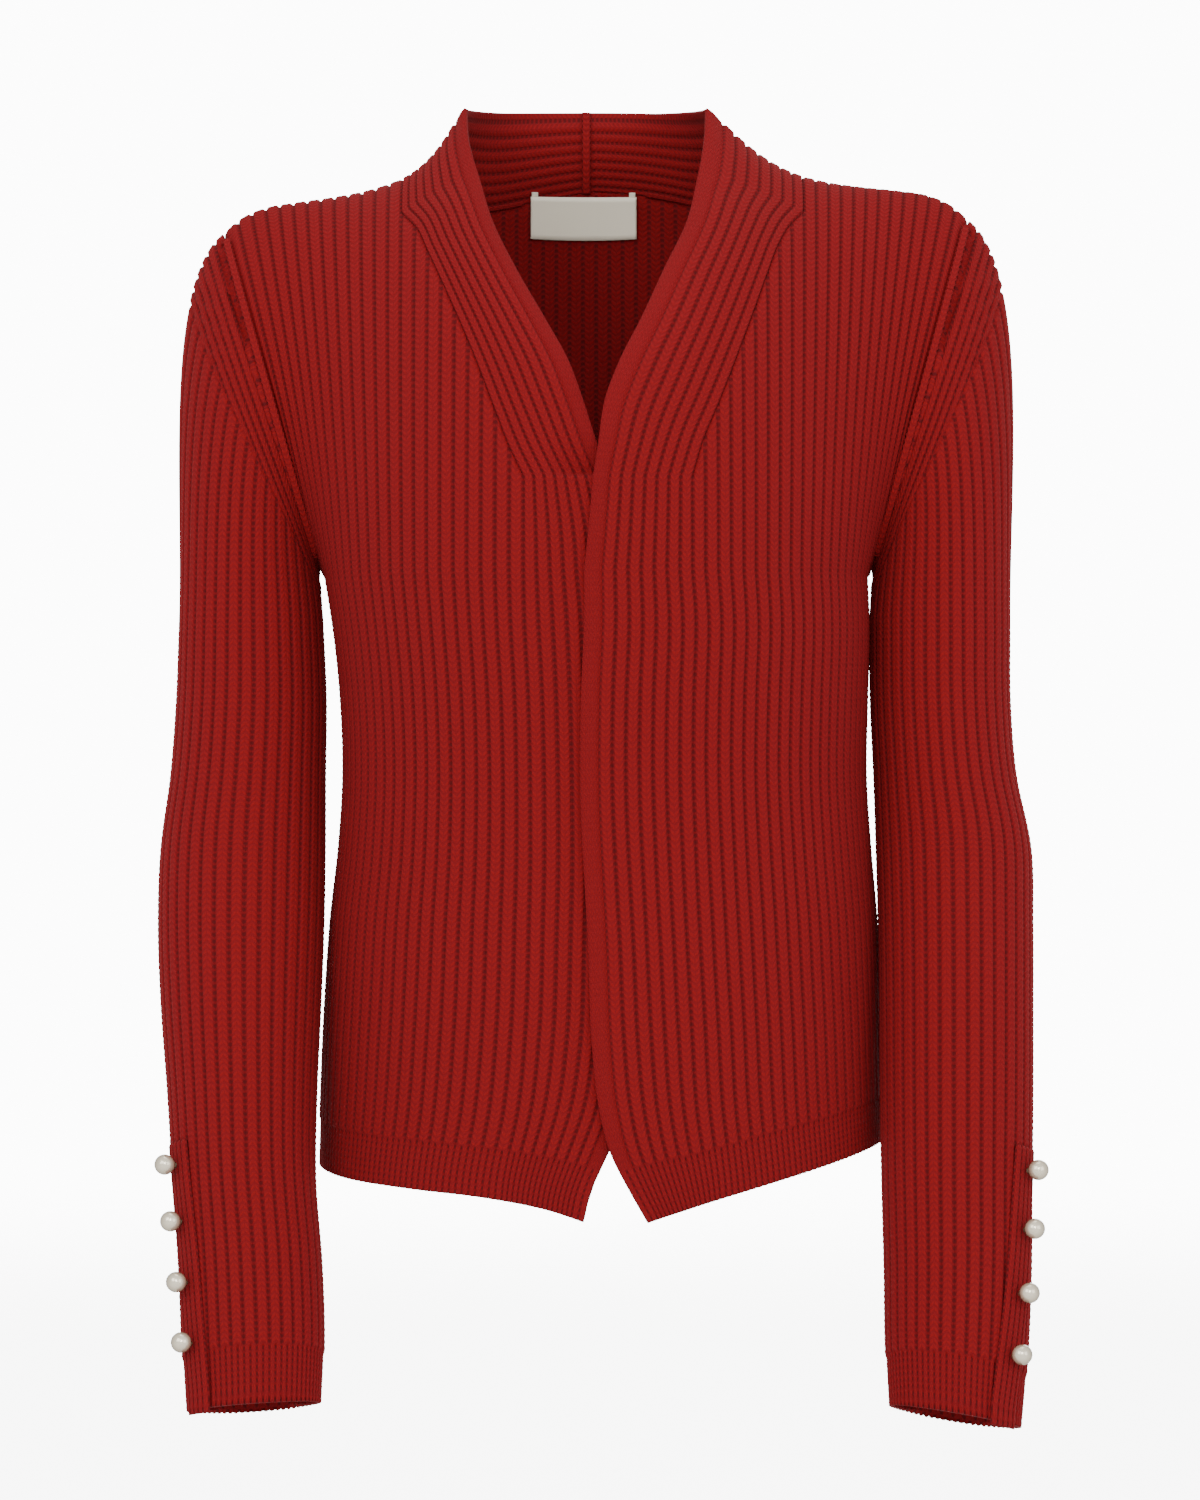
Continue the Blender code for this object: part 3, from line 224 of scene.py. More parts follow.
# Hem: share of the way from the front edge to the side seam, height on the left, on the right
HEM_LINE = (
    (0.00, -0.5385, -0.5380), (0.10, -0.5335, -0.5320), (0.25, -0.5255, -0.5265),
    (0.45, -0.5160, -0.5230), (0.70, -0.5065, -0.5195), (1.00, -0.5000, -0.5140),
)
LEAN_POWERS = {-1: (1.8, 1.8), 1: (4.7, 3.0)}      # roundness of the way up to the shoulder: middle, tip
LEAN_REACH = 0.110             # distance over which the one power turns into the other


def table_value(table, column, at):
    """A column of a table as a smooth curve through its rows."""
    rows = np.asarray(table, float)
    rows = rows[np.argsort(rows[:, 0])]
    keys, values = rows[:, 0], rows[:, column]
    slopes = np.gradient(values, keys)
    at = np.clip(np.asarray(at, float), keys[0], keys[-1])
    row = np.clip(np.searchsorted(keys, at) - 1, 0, len(keys) - 2)
    span = keys[row + 1] - keys[row]
    u = (at - keys[row]) / span
    rise = u * u * (3 - 2 * u)
    start = u * (1 - u) ** 2 * span * slopes[row]
    end = u * u * (u - 1) * span * slopes[row + 1]
    return values[row] * (1 - rise) + values[row + 1] * rise + start + end


def ease(u):
    """Smooth step from 0 to 1."""
    u = np.clip(u, 0.0, 1.0)
    return u * u * (3 - 2 * u)


def unit(vectors):
    """Vectors scaled to length 1."""
    return vectors / np.maximum(np.linalg.norm(vectors, axis=-1, keepdims=True), 1e-12)


def distances(points):
    """Distance of every point from the first one, along the polyline or down a grid's columns."""
    steps = np.linalg.norm(np.diff(points, axis=0), axis=-1)
    return np.concatenate((np.zeros_like(steps[:1]), np.cumsum(steps, axis=0)))


def quarter_ring(angle):
    """A quarter of a ring from the middle to the side: shares of its half width and depth."""
    power = 2.0 / ROUNDNESS
    return np.sin(angle) ** power, np.clip(np.cos(angle), 0.0, 1.0) ** power


QUARTER = np.linspace(0.0, math.pi / 2, CURVE_POINTS)
TYPICAL_QUARTER = (0.143, 0.106)      # half width and depth of a middling torso ring
QUARTER_SHARES = distances(np.stack(quarter_ring(QUARTER), axis=1) * TYPICAL_QUARTER)
QUARTER_SHARES /= QUARTER_SHARES[-1]


def shoulder_height(across):
    """Height of the shoulder line."""
    drop = -np.sign(across) * SHOULDER_DROP * ease(np.abs(across) / SHOULDER_TIP)
    return table_value(SHOULDER_LINE, 1, np.abs(across)) - drop


def torso_point(place, height, face):
    """A point of the torso's valley surface: place -1 to 1 round it, face -1 front or 1 back.

    Above UNDERARM the height is the share of the way to the shoulder line times the middle's full way.
    """
    place, height = np.broadcast_arrays(np.asarray(place, float), np.asarray(height, float))
    low = np.minimum(height, UNDERARM)
    middle, half_width, front, back = (table_value(TORSO_RINGS, c, low) for c in (1, 2, 3, 4))
    across, deep = quarter_ring(np.interp(np.abs(place), QUARTER_SHARES, QUARTER))
    ring_x = middle + np.sign(place) * half_width * across
    ring_y = face * (front if face < 0 else back) * deep
    rise = np.clip((height - UNDERARM) / (NECK_TOP - UNDERARM), 0.0, 1.0)
    top_x = place * SHOULDER_TIP
    middle_power, tip_power = LEAN_POWERS[face]
    power = tip_power + (middle_power - tip_power) * (1 - ease(np.abs(top_x) / LEAN_REACH))
    lean = np.maximum(1 - rise ** power, 0.0) ** (1 / power)
    along, inwards = HOLLOW_POWERS
    hollow = ARMHOLE_HOLLOW[face] * np.sin(math.pi * rise) ** along * np.abs(place) ** inwards
    x = ring_x * (1 - rise) + top_x * rise
    y = RIDGE_Y + (ring_y - RIDGE_Y) * lean + face * hollow
    z = low + rise * (shoulder_height(top_x) - UNDERARM)
    return np.stack([x, y, z], axis=-1)


def torso_normal(place, height, face):
    """Outward unit normals; they stay in the plane of a side or shoulder seam."""
    place, height = np.broadcast_arrays(np.asarray(place, float), np.asarray(height, float))
    step_place, step_height = 0.004, 0.0006
    p1, p0 = np.minimum(place + step_place, 1.0), np.maximum(place - step_place, -1.0)
    h1 = np.minimum(height + step_height, NECK_TOP - 1e-5)
    h0 = h1 - 2 * step_height
    sideways = torso_point(p1, height, face) - torso_point(p0, height, face)
    upwards = torso_point(place, h1, face) - torso_point(place, h0, face)
    normal = unit(np.cross(sideways, upwards) * (1 if face < 0 else -1))
    on_seam = ((np.abs(place) > 0.9999) & (height <= UNDERARM)) | (height > NECK_TOP - 1e-4)
    normal[..., 1] = np.where(on_seam, 0.0, normal[..., 1])
    return unit(normal)


def armhole(side, face, rises):
    """Armhole edge at shares from 0 at the underarm to 1 at the shoulder tip."""
    heights = UNDERARM + rises * (NECK_TOP - UNDERARM)
    points = torso_point(np.full_like(rises, side), heights, face)
    lip = ARMHOLE_LIP * (1 - rises) ** 4
    return points + np.stack([side * lip, 0 * lip, lip], axis=1)


def armhole_normals(points, rises, side, face):
    """Normals square to the armhole edge and to the way out of the sleeve, upright at its ends."""
    along = unit(np.gradient(points, axis=0))
    normal = unit(np.cross(along, np.array([side, 0.0, 0.0])) * (-side * face))
    low, high = ease(rises / UPRIGHT_ENDS[0])[:, None], ease((1 - rises) / UPRIGHT_ENDS[1])[:, None]
    down, up = np.array([[0.0, 0.0, -1.0]]), np.array([[0.0, 0.0, 1.0]])
    return unit(unit(normal * low + down * (1 - low)) * high + up * (1 - high))


def meet_armhole(base, normals, places, heights, side, face):
    """Bend the last rib of a panel's upper rows to the armhole's lip, and leave the cloth's own gap."""
    rises = (heights[:, -1 if side > 0 else 0] - UNDERARM) / (NECK_TOP - UNDERARM)
    upper = rises > 0
    edge = armhole(side, face, np.clip(rises[upper], 0, 1))
    edge_normals = armhole_normals(edge, rises[upper], side, face)
    plain = torso_point(side, heights[:, -1 if side > 0 else 0], face)[upper]
    share = ease(1 - (1 - np.abs(places[upper])) * BACK_RIBS / MEETING_RIBS)[..., None]
    base[upper] += share * (edge - plain)[:, None]
    normals[upper] = unit(normals[upper] * (1 - share) + edge_normals[:, None] * share)


def back_neckline(across, side):
    """Depth of the back neckline at a distance from the middle."""
    corner = side * NECK_CORNER[side]
    share = np.clip(np.abs(across - NECK_MIDDLE) / abs(corner - NECK_MIDDLE), 0.0, 1.0)
    bend = (1 - share ** NECK_ROUNDNESS) ** (1 / NECK_ROUNDNESS)
    return BACK_NECK[0] + (BACK_NECK[1] - BACK_NECK[0]) * bend


def back_column(place, rows):
    """Heights of one column's upper points, evenly up to the neckline or shoulder."""
    side = 1 if place >= NECK_MIDDLE / SHOULDER_TIP else -1
    heights = UNDERARM + (NECK_TOP - UNDERARM) * np.sin(np.linspace(0.0, math.pi / 2, CURVE_POINTS))
    points = torso_point(np.full_like(heights, place), heights, 1)
    if abs(place) * SHOULDER_TIP < NECK_CORNER[side] - 1e-6:
        inside = points[:, 1] < back_neckline(points[:, 0], side)
        end = int(np.argmax(inside & (heights > NECK_SEARCH)))
        before = points[end - 1, 1] - back_neckline(points[end - 1, 0], side)
        after = points[end, 1] - back_neckline(points[end, 0], side)
        last = heights[end - 1] + before / (before - after) * (heights[end] - heights[end - 1])
        heights = np.append(heights[:end], last)
        points = torso_point(np.full_like(heights, place), heights, 1)
    along = distances(points)
    return np.interp(along[-1] * np.linspace(0.0, 1.0, rows), along, heights)


def relief(rib, course, rise):
    """Height above the valleys of crests with two rounded strands, stitch on stitch."""
    off = np.abs(rib % 1.0 - 0.5) * 2
    crest = ease((1 - off) / RIB_SLOPE)
    swell = np.cos(2 * math.pi * course)
    level = CREST_LEVEL + STITCH_SWELL * swell - GROOVE_DEPTH * ease(1 - off / GROOVE_WIDTH)
    return rise * crest * level - VALLEY_DIP * (1 - crest) * (1 + swell)


def knit_rows(length):
    """Number of half stitches in a length."""
    return int(round(length / (COURSE / 2)))


def chart_of(rib, course):
    """Place in the knit of every point: rib across, stitch along."""
    return np.stack(np.broadcast_arrays(np.asarray(rib, float), np.asarray(course, float)), axis=-1)


def across_ribs(first, last, steps):
    """Rib positions of the points from one rib to another."""
    return np.append((np.arange(first, last)[:, None] + np.array(steps)).ravel(), float(last))


class Shell:
    """One mesh grown from rows of points. Every face corner carries its place in the knit."""

    def __init__(self):
        self.points = []
        self.count = 0
        self.corners = []
        self.charts = []
        self.sizes = []
        self.kinds = []

    def add(self, points):
        """Index of every added point."""
        index = np.arange(points[..., 0].size).reshape(points.shape[:-1]) + self.count
        self.points.append(points.reshape(-1, 3))
        self.count += index.size
        return index

    def faces(self, corners, charts, kind):
        """Faces of equal corner count."""
        self.corners.append(corners.ravel())
        self.charts.append(charts.reshape(-1, 2))
        self.sizes.append(np.full(len(corners), corners.shape[1]))
        self.kinds.append(np.full(len(corners), kind))

    def skin(self, index, chart, kind=0, only=None):
        """Four-cornered faces through a grid of points, all of them or only the marked ones."""
        chart = np.broadcast_to(chart, (*index.shape, 2))
        picks = ((slice(None, -1), slice(None, -1)), (slice(None, -1), slice(1, None)),
                 (slice(1, None), slice(1, None)), (slice(1, None), slice(None, -1)))
        corners = np.stack([index[p] for p in picks], axis=-1).reshape(-1, 4)
        charts = np.stack([chart[p] for p in picks], axis=-2).reshape(-1, 4, 2)
        kept = slice(None) if only is None else only.ravel()
        self.faces(corners[kept], charts[kept], kind)

    def zip(self, a, b, kind=0):
        """Triangles between two runs of points; a run has its points' indices, keys and charts."""
        corners, charts = [], []
        i = j = 0
        while i < len(a[0]) - 1 or j < len(b[0]) - 1:
            next_a = a[1][i + 1] if i < len(a[0]) - 1 else math.inf
            next_b = b[1][j + 1] if j < len(b[0]) - 1 else math.inf
            if next_a <= next_b:
                corners.append((a[0][i], a[0][i + 1], b[0][j]))
                charts.append((a[2][i], a[2][i + 1], b[2][j]))
                i += 1
            else:
                corners.append((a[0][i], b[0][j + 1], b[0][j]))
                charts.append((a[2][i], b[2][j + 1], b[2][j]))
                j += 1
        corners = np.array(corners)
        kept = (corners[:, 0] != corners[:, 1]) & (corners[:, 1] != corners[:, 2]) & (
            corners[:, 0] != corners[:, 2])
        self.faces(corners[kept], np.array(charts)[kept], kind)

    def build(self, name, materials):
        """Object of the shell, smooth and with its faces outwards."""
        points = np.concatenate(self.points)
        sizes = np.concatenate(self.sizes)
        mesh = bpy.data.meshes.new(name)
        mesh.vertices.add(len(points))
        mesh.vertices.foreach_set("co", points.astype(np.float32).ravel())
        mesh.loops.add(int(sizes.sum()))
        mesh.loops.foreach_set("vertex_index", np.concatenate(self.corners).astype(np.int32))
        mesh.polygons.add(len(sizes))
        mesh.polygons.foreach_set("loop_start", (np.cumsum(sizes) - sizes).astype(np.int32))
        mesh.polygons.foreach_set("material_index", np.concatenate(self.kinds).astype(np.int32))
        chart = mesh.uv_layers.new(name="knit")
        chart.data.foreach_set("uv", np.concatenate(self.charts).astype(np.float32).ravel())
        mesh.update(calc_edges=True)
        mesh.validate()
        for material in materials:
            mesh.materials.append(material)
        shape = bmesh.new()
        shape.from_mesh(mesh)
        bmesh.ops.recalc_face_normals(shape, faces=shape.faces)
        if shape.calc_volume(signed=True) < 0:
            bmesh.ops.reverse_faces(shape, faces=shape.faces)
        shape.to_mesh(mesh)
        shape.free()
        mesh.shade_smooth()
        item = bpy.data.objects.new(name, mesh)
        bpy.context.scene.collection.objects.link(item)
        return item


def dress(item, node):
    """Show a piece in place of its solid."""
    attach(item, "root")
    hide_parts(node)


# Felted wool yarn, dyed deep red and knitted thick: dull all over, with a faint bloom of loose fibres at
# grazing angles. Its fleck is drawn coarser than a fibre so that it shows.
# The colours after the crest's are painted shade: darker for the gaps between the crests' stitches and
# strands, for the valleys, and darkest for the holes between the valleys' rungs.
WOOL_CREST = "84080f"
WOOL_STRAND_GAP_SHADE = "74070d"
WOOL_VALLEY_SHADE = "78080e"
WOOL_HOLE_SHADE = "55050a"
WOOL_FUZZ = "c8302c"
STITCH_DEPTH = 0.0005
FLECK_SPACING = 1 / 1800       # metres, about half a millimetre
WANDER_SPACING = 1 / 55        # metres, about 18 mm, over which the stitches drift
STRAND_LEAN = -1.7             # stitches by which a strand leans over one rib
# In the groove between a crest's strands the bump is lowered and the colour painted darker: painted shade in
# the groove.
CREST_GROOVE = (0.07, 0.35)    # between a crest's two strands: half width in ribs, tone in its middle
RUNG_POWER = 1.6               # above 1 the rungs of a valley are narrower than the holes
FLECK_TONES = (0.86, 1.12)     # darkest and lightest fleck
RUNG_HEIGHT = 0.35             # bump heights, in shares of STITCH_DEPTH
FIBRE_HEIGHT = 0.22


def wool(name, crest_edge, crest_start):
    """Matt wool knit: leaning strands on the crests, rungs with holes between them in the valleys; painted
    shade darkens the valleys, the holes and the gaps between the strands.

    A crest ends at crest_edge and is whole from crest_start inwards, both in ribs from its middle.
    """
    made, tree = new_material(name)
    chart = add_node(tree, "SeparateXYZ", {0: add_node(tree, "UVMap", uv_map="knit").outputs[0]}).outputs
    object_place = add_node(tree, "TexCoord").outputs["Object"]
    uneven = add_node(tree, "TexNoise", {
        "Vector": object_place, "Scale": 1 / WANDER_SPACING, "Detail": 2.0}).outputs["Fac"]
    fibre = add_node(tree, "TexNoise", {
        "Vector": object_place, "Scale": 1 / FLECK_SPACING, "Detail": 4.0}).outputs["Fac"]
    inside_rib = add_node(tree, "Math", {0: chart[0]}, operation="FRACT").outputs[0]
    signed = add_node(tree, "Math", {0: inside_rib, 1: 0.5}, operation="SUBTRACT").outputs[0]
    off = add_node(tree, "Math", {0: signed}, operation="ABSOLUTE").outputs[0]
    crest = add_node(tree, "MapRange", {0: off, 1: crest_edge, 2: crest_start, 3: 0.0, 4: 1.0},
                     interpolation_type="SMOOTHSTEP").outputs[0]
    groove = add_node(tree, "MapRange", {0: off, 1: 0.0, 2: CREST_GROOVE[0], 3: CREST_GROOVE[1], 4: 1.0},
                      interpolation_type="SMOOTHSTEP").outputs[0]
    wander = add_node(tree, "Math", {0: uneven, 1: 0.5, 2: chart[1]}, operation="MULTIPLY_ADD").outputs[0]
    leaning = add_node(tree, "Math", {0: off, 1: STRAND_LEAN, 2: wander}, operation="MULTIPLY_ADD").outputs[0]
    waves = []
    for phase in (leaning, wander):
        turn = add_node(tree, "Math", {0: phase, 1: 2 * math.pi}, operation="MULTIPLY").outputs[0]
        wave = add_node(tree, "Math", {0: turn}, operation="SINE").outputs[0]
        waves.append(add_node(tree, "Math", {0: wave, 1: 0.5, 2: 0.5}, operation="MULTIPLY_ADD").outputs[0])
    strand = add_node(tree, "Math", {0: waves[0], 1: groove}, operation="MULTIPLY").outputs[0]
    rung = add_node(tree, "Math", {0: waves[1], 1: RUNG_POWER}, operation="POWER").outputs[0]
    # Painted shade: the gaps between stitches and the groove between the strands take the darker shade
    # colour.
    crest_colour_and_gap_shade = add_node(tree, "Mix", {0: strand, 6: linear(WOOL_STRAND_GAP_SHADE), 7: linear(WOOL_CREST)},
                            data_type="RGBA").outputs[2]
    # Painted shade: the valleys are darker than the crests, and the holes between their rungs darker still.
    shaded_valley_colour = add_node(tree, "Mix", {0: rung, 6: linear(WOOL_HOLE_SHADE), 7: linear(WOOL_VALLEY_SHADE)},
                             data_type="RGBA").outputs[2]
    colour = add_node(tree, "Mix", {0: crest, 6: shaded_valley_colour, 7: crest_colour_and_gap_shade}, data_type="RGBA").outputs[2]
    fleck = add_node(tree, "MapRange", {
        0: fibre, 1: 0.3, 2: 0.7, 3: FLECK_TONES[0], 4: FLECK_TONES[1]}).outputs[0]
    flecked = add_node(tree, "VectorMath", {0: colour, "Scale": fleck}, operation="SCALE").outputs[0]
    low = add_node(tree, "Math", {0: rung, 1: RUNG_HEIGHT}, operation="MULTIPLY").outputs[0]
    high = add_node(tree, "Math", {0: strand, 1: 0.5, 2: 0.5}, operation="MULTIPLY_ADD").outputs[0]
    body = add_node(tree, "Mix", {0: crest, 2: low, 3: high}).outputs[0]
    fuzzy = add_node(tree, "Math", {0: fibre, 1: FIBRE_HEIGHT, 2: body}, operation="MULTIPLY_ADD").outputs[0]
    bump = add_node(tree, "Bump", {"Strength": 1.0, "Distance": STITCH_DEPTH, "Height": fuzzy}).outputs[0]
    shader = add_node(tree, "BsdfPrincipled", {
        "Base Color": flecked, "Roughness": 0.92, "IOR": 1.5, "Normal": bump, "Specular IOR Level": 0.25,
        "Sheen Weight": 0.12, "Sheen Roughness": 0.5, "Sheen Tint": linear(WOOL_FUZZ)})
    finish_material(tree, shader)
    return made


rib_wool = wool("ribbed wool", 0.43, 0.30)     # a rib, crest and valley, is one unit of the chart


def make_back():
    """Shell of the back."""
    shell = Shell()
    ribs = across_ribs(0, BACK_RIBS, BACK_STEPS)
    places = 2 * ribs / BACK_RIBS - 1
    hems = HEM_LINE[-1][2] + (HEM_LINE[-1][1] - HEM_LINE[-1][2]) * ribs / BACK_RIBS
    lower_rows = knit_rows(UNDERARM - hems.mean())
    upper_rows = knit_rows(UPPER_BACK)
    lower = hems + (UNDERARM - hems) * np.linspace(0, 1, lower_rows + 1)[:-1, None]
    upper = np.array([back_column(place, upper_rows) for place in places]).T
    heights = np.concatenate((lower, upper))
    base = torso_point(places[None], heights, 1)
    normals = torso_normal(places[None], heights, 1)
    across = np.broadcast_to(places, heights.shape)
    for side, half in ((-1, slice(None, len(ribs) // 2)), (1, slice(len(ribs) // 2, None))):
        meet_armhole(base[:, half], normals[:, half], across[:, half], heights[:, half], side, 1)
    for column in (0, -1):
        below = heights[:, column] <= UNDERARM
        base[below, column, 1] = SEAM_GAP / 2
        base[~below, column, 1] += SEAM_GAP / 2
    shoulder = heights[-1] > NECK_TOP - 1e-4
    base[-1, shoulder, 1] = RIDGE_Y + SEAM_GAP / 2
    normals[-1, shoulder, 1] = 0.0
    normals = unit(normals)

    course = np.arange(len(heights))[:, None] / 2
    fine = knit_rows(FINE_BAND)
    lift = relief(ribs[None], course, RIB_RISE)
    lift[:fine] = relief(2 * ribs[None], course[:fine], FINE_RISE)
    outer = shell.add(base + normals * lift[..., None])
    chart = chart_of(ribs[None], course)
    shell.skin(outer[:fine + 1], chart[:fine + 1] * [2, 1])
    shell.skin(outer[fine:], chart[fine:])

    rows = sorted(set(range(0, len(heights), INSIDE_STEP)) | {len(heights) - 1})
    columns = np.flatnonzero(np.isin(np.arange(len(ribs)) % len(BACK_STEPS), (0, 2)))
    grid = np.ix_(rows, columns)
    inward = np.where(np.arange(len(columns)) % 2 == 0, *INSIDE_WAVE)
    inner = shell.add(base[grid] - normals[grid] * (WALL + inward)[None, :, None])
    shell.skin(inner, chart[grid])
    for row in (0, -1):
        shell.zip((outer[row], ribs, chart[0]), (inner[row], ribs[columns], chart[0][columns]))
    for c in (0, -1):
        keys = np.arange(len(heights))
        shell.zip((outer[:, c], keys, chart[:, c]), (inner[:, c], keys[rows], chart[rows][:, c]))
    return shell.build("back_shell", [rib_wool])


back = make_back()
dress(back, "back")


# ---------------------------------------------------------------- fronts
# Each front is one panel of the same rib with its front band and its half of the stand collar knitted on:
# the panel's upright ribs end on a fashioning line, seven ribs run up beside it, and a plain edge ends it.
SIDE_NAMES = {1: "left", -1: "right"}      # the wearer's
PANEL_RIBS = 22
BAND_RIBS = 7
EDGE_STRIP = 0.010             # width of the plain edge
BAND_WIDTH = 0.061
BAND_LEAD = 0.42               # share of its width over which the band keeps the panel's direction
BAND_START = -0.157            # height from which the band has rows of its own
STEPPED_RIBS = 9               # panel ribs that end on the fashioning line above that
RIDGE_START = 0.90             # share of the height from which the line runs straight up
FRONT_STEPS = (0.0, 0.17, 0.34, 0.5, 0.66, 0.83)
INSIDE_COLUMN = 3              # the inside of fronts and sleeves has every third column
EDGE_STITCHES = 5              # plain stitches across the edge strip
STRIP_PLACES = (0.12, 0.3, 0.5, 0.7, 0.9, 1.0)      # places of the points across the edge strip
STRIP_UP = (0.9, 0.18)         # its rise in shares of FINE_RISE, and over how much of its width
STRIP_DOWN = (1.4, 0.3, 0.75)  # the fall at its edge, over how much of its width, and from where
CLIMB_PLACE = 0.62             # place along which the panel's upper rows are spaced
LINE_CLEARANCE = 0.04          # ribs between the fashioning line and a row's first point beside it
LINE_FADE = 0.45               # ribs over which the relief rises beside the fashioning line
LINE_DEPTH = 0.0004
WALL_WAVE = 0.0004             # waves of the inside, opposite the ribs
COLLAR_WAVE = 0.0007           # the same on the collar, where the inside shows
HEM_LEVEL = -0.53              # height at which the ribs are spaced for the hem
UNDER_PUSH = 0.0044            # how far in the right front lies under the left one
UNDER_START = 0.028            # where that starts, outside the left front's edge
UNDER_RAMP = 0.024             # width over which it grows
BLEND_REACH = 0.055            # length over which the band turns into the collar's own curve
COLLAR_HALF_WIDTH = 0.0645
COLLAR_SIDE_Y = 0.0030
COLLAR_BACK_Y = 0.0825
COLLAR_TOP = (0.0440, 0.0495)  # height of the collar's edge at its sides and at the back
# Fashioning line below BAND_START: height, left, right
FASHION_LINE = (
    (-0.550, 0.0650, -0.0490), (-0.520, 0.0630, -0.0475), (-0.480, 0.0580, -0.0395),
    (-0.440, 0.0558, -0.0358), (-0.380, 0.0525, -0.0340), (-0.320, 0.0500, -0.0335),
    (-0.270, 0.0500, -0.0345), (-0.230, 0.0510, -0.0365),
)
# The same line from BAND_START to the shoulder: height, left, right
NECK_FASHION_LINE = (
    (-0.143, 0.0535, -0.0440), (-0.117, 0.0640, -0.0540), (-0.091, 0.0740, -0.0640),
    (-0.064, 0.0840, -0.0755), (-0.0365, 0.0940, -0.0880), (-0.016, 0.1030, -0.0980),
)
# Front edges: height, left front, right front
FRONT_EDGES = (
    (-0.550, 0.0320, -0.0110), (-0.5395, 0.0270, -0.0068), (-0.523, 0.0175, -0.0025),
    (-0.502, 0.0070, 0.0070), (-0.480, 0.0015, 0.0165), (-0.450, -0.0020, 0.0230),
    (-0.400, -0.0040, 0.0255), (-0.320, -0.0080, 0.0265), (-0.270, -0.0077, 0.0255),
    (-0.220, -0.0060, 0.0225), (-0.185, -0.0040, 0.0165), (-0.157, -0.0015, 0.0075),
)
# Neck edge from the crossing of the fronts to the collar's side: height, depth, left, right
NECK_EDGE = (
    (-0.141, -0.1070, 0.0010, 0.0010), (-0.117, -0.1000, 0.0046, -0.0066),
    (-0.098, -0.0930, 0.0115, -0.0135), (-0.074, -0.0805, 0.0232, -0.0262),
    (-0.047, -0.0640, 0.0352, -0.0412), (-0.020, -0.0460, 0.0475, -0.0540),
    (0.003, -0.0290, 0.0530, -0.0610), (0.027, -0.0110, 0.0575, -0.0680),
)
# Cords of knit over the seams inside the collar: half width, half depth
NECK_CORD = (0.0015, 0.0007)
MIDDLE_CORD = (0.0023, 0.0007)
CORD_DEPTH = WALL + 0.0018     # the cords' middle below the band's outer surface
CORD_SIDES = 12
CORD_SWELL = 0.12
LABEL_REACH = (-0.0390, 0.0250)      # the label covers the neck seam between these distances


def blend_along(values, along, shares):
    """Vectors that belong to the points of a polyline, at the given shares of its length."""
    return np.stack([np.interp(shares, along / along[-1], values[:, axis]) for axis in range(3)], axis=1)


def resample(points, shares):
    """Points at the given shares of a polyline's length."""
    return blend_along(points, distances(points), shares)


def chain(shell, path, outwards, half_width, half_depth):
    """Flat cord of knit along a path, closed at both ends."""
    along = distances(path)
    shares = np.linspace(0, 1, 2 * knit_rows(along[-1]) + 1)
    rows, facing = resample(path, shares), unit(blend_along(outwards, along, shares))
    sideways = unit(np.cross(facing, np.gradient(rows, axis=0)))
    angle = np.linspace(0, 2 * math.pi, CORD_SIDES + 1)[None, :, None]
    course = shares[:, None] * along[-1] / COURSE
    swell = (1 + CORD_SWELL * np.cos(2 * math.pi * course))[..., None]
    cord = rows[:, None] + swell * (sideways[:, None] * np.cos(angle) * half_width
                                    + facing[:, None] * np.sin(angle) * half_depth)
    index = shell.add(cord[:, :-1])
    index = np.concatenate((index, index[:, :1]), axis=1)
    shell.skin(index, chart_of(angle[..., 0] / math.pi, course))
    for end in (0, -1):
        shell.faces(index[[end], :-1], np.zeros((1, CORD_SIDES, 2)), 0)


plain_wool = wool("plain wool", 0.56, 0.48)         # the same yarn, every stitch a column of its own


def column_of(side):
    """Column of a table for a side: 1 is the wearer's left, -1 the right."""
    return 1 if side > 0 else 2


def place_at(across, height):
    """Place round the front that lies a given distance from the middle, at one height."""
    places = np.linspace(-1.0, 1.0, 801)
    return float(np.interp(across, torso_point(places, height, -1)[:, 0], places))


def fashion_place(side, heights):
    """Place of the fashioning line below BAND_START, and its last place."""
    corner = NECK_CORNER[side] / SHOULDER_TIP
    ended = STEPPED_RIBS / PANEL_RIBS
    top = side * (corner - ended) / (1 - ended)
    rows = sorted(FASHION_LINE)
    table = [(row[0], place_at(row[column_of(side)], row[0])) for row in rows] + [(UNDERARM, top)]
    return table_value(table, 1, np.minimum(heights, UNDERARM)), top


def edge_place(side, heights):
    """Place of a front edge below BAND_START."""
    table = [(row[0], place_at(row[column_of(side)], row[0])) for row in FRONT_EDGES]
    return table_value(table, 1, heights)


def under_push(points):
    """Inward shift of the right front where it goes under the left one."""
    table = [(row[0], row[1]) for row in FRONT_EDGES] + [(row[0], row[2]) for row in NECK_EDGE]
    upper_edge = table_value(table, 1, points[..., 2])
    return UNDER_PUSH * ease((points[..., 0] - upper_edge + UNDER_START) / UNDER_RAMP)


def crossing(side, place, lowest):
    """Height at which an upright column meets the fashioning line above BAND_START."""
    heights = np.linspace(lowest, NECK_TOP - 1e-4, 600)
    points = torso_point(np.full_like(heights, place), heights, -1)
    start = torso_point(fashion_place(side, np.array([UNDERARM]))[1], BAND_START, -1)
    rows = [(start[2], start[0], start[0])] + list(NECK_FASHION_LINE)
    outside = (points[:, 0] - table_value(rows, column_of(side), points[:, 2])) * side > 0
    return None if outside.all() else float(heights[int(np.argmin(outside))])


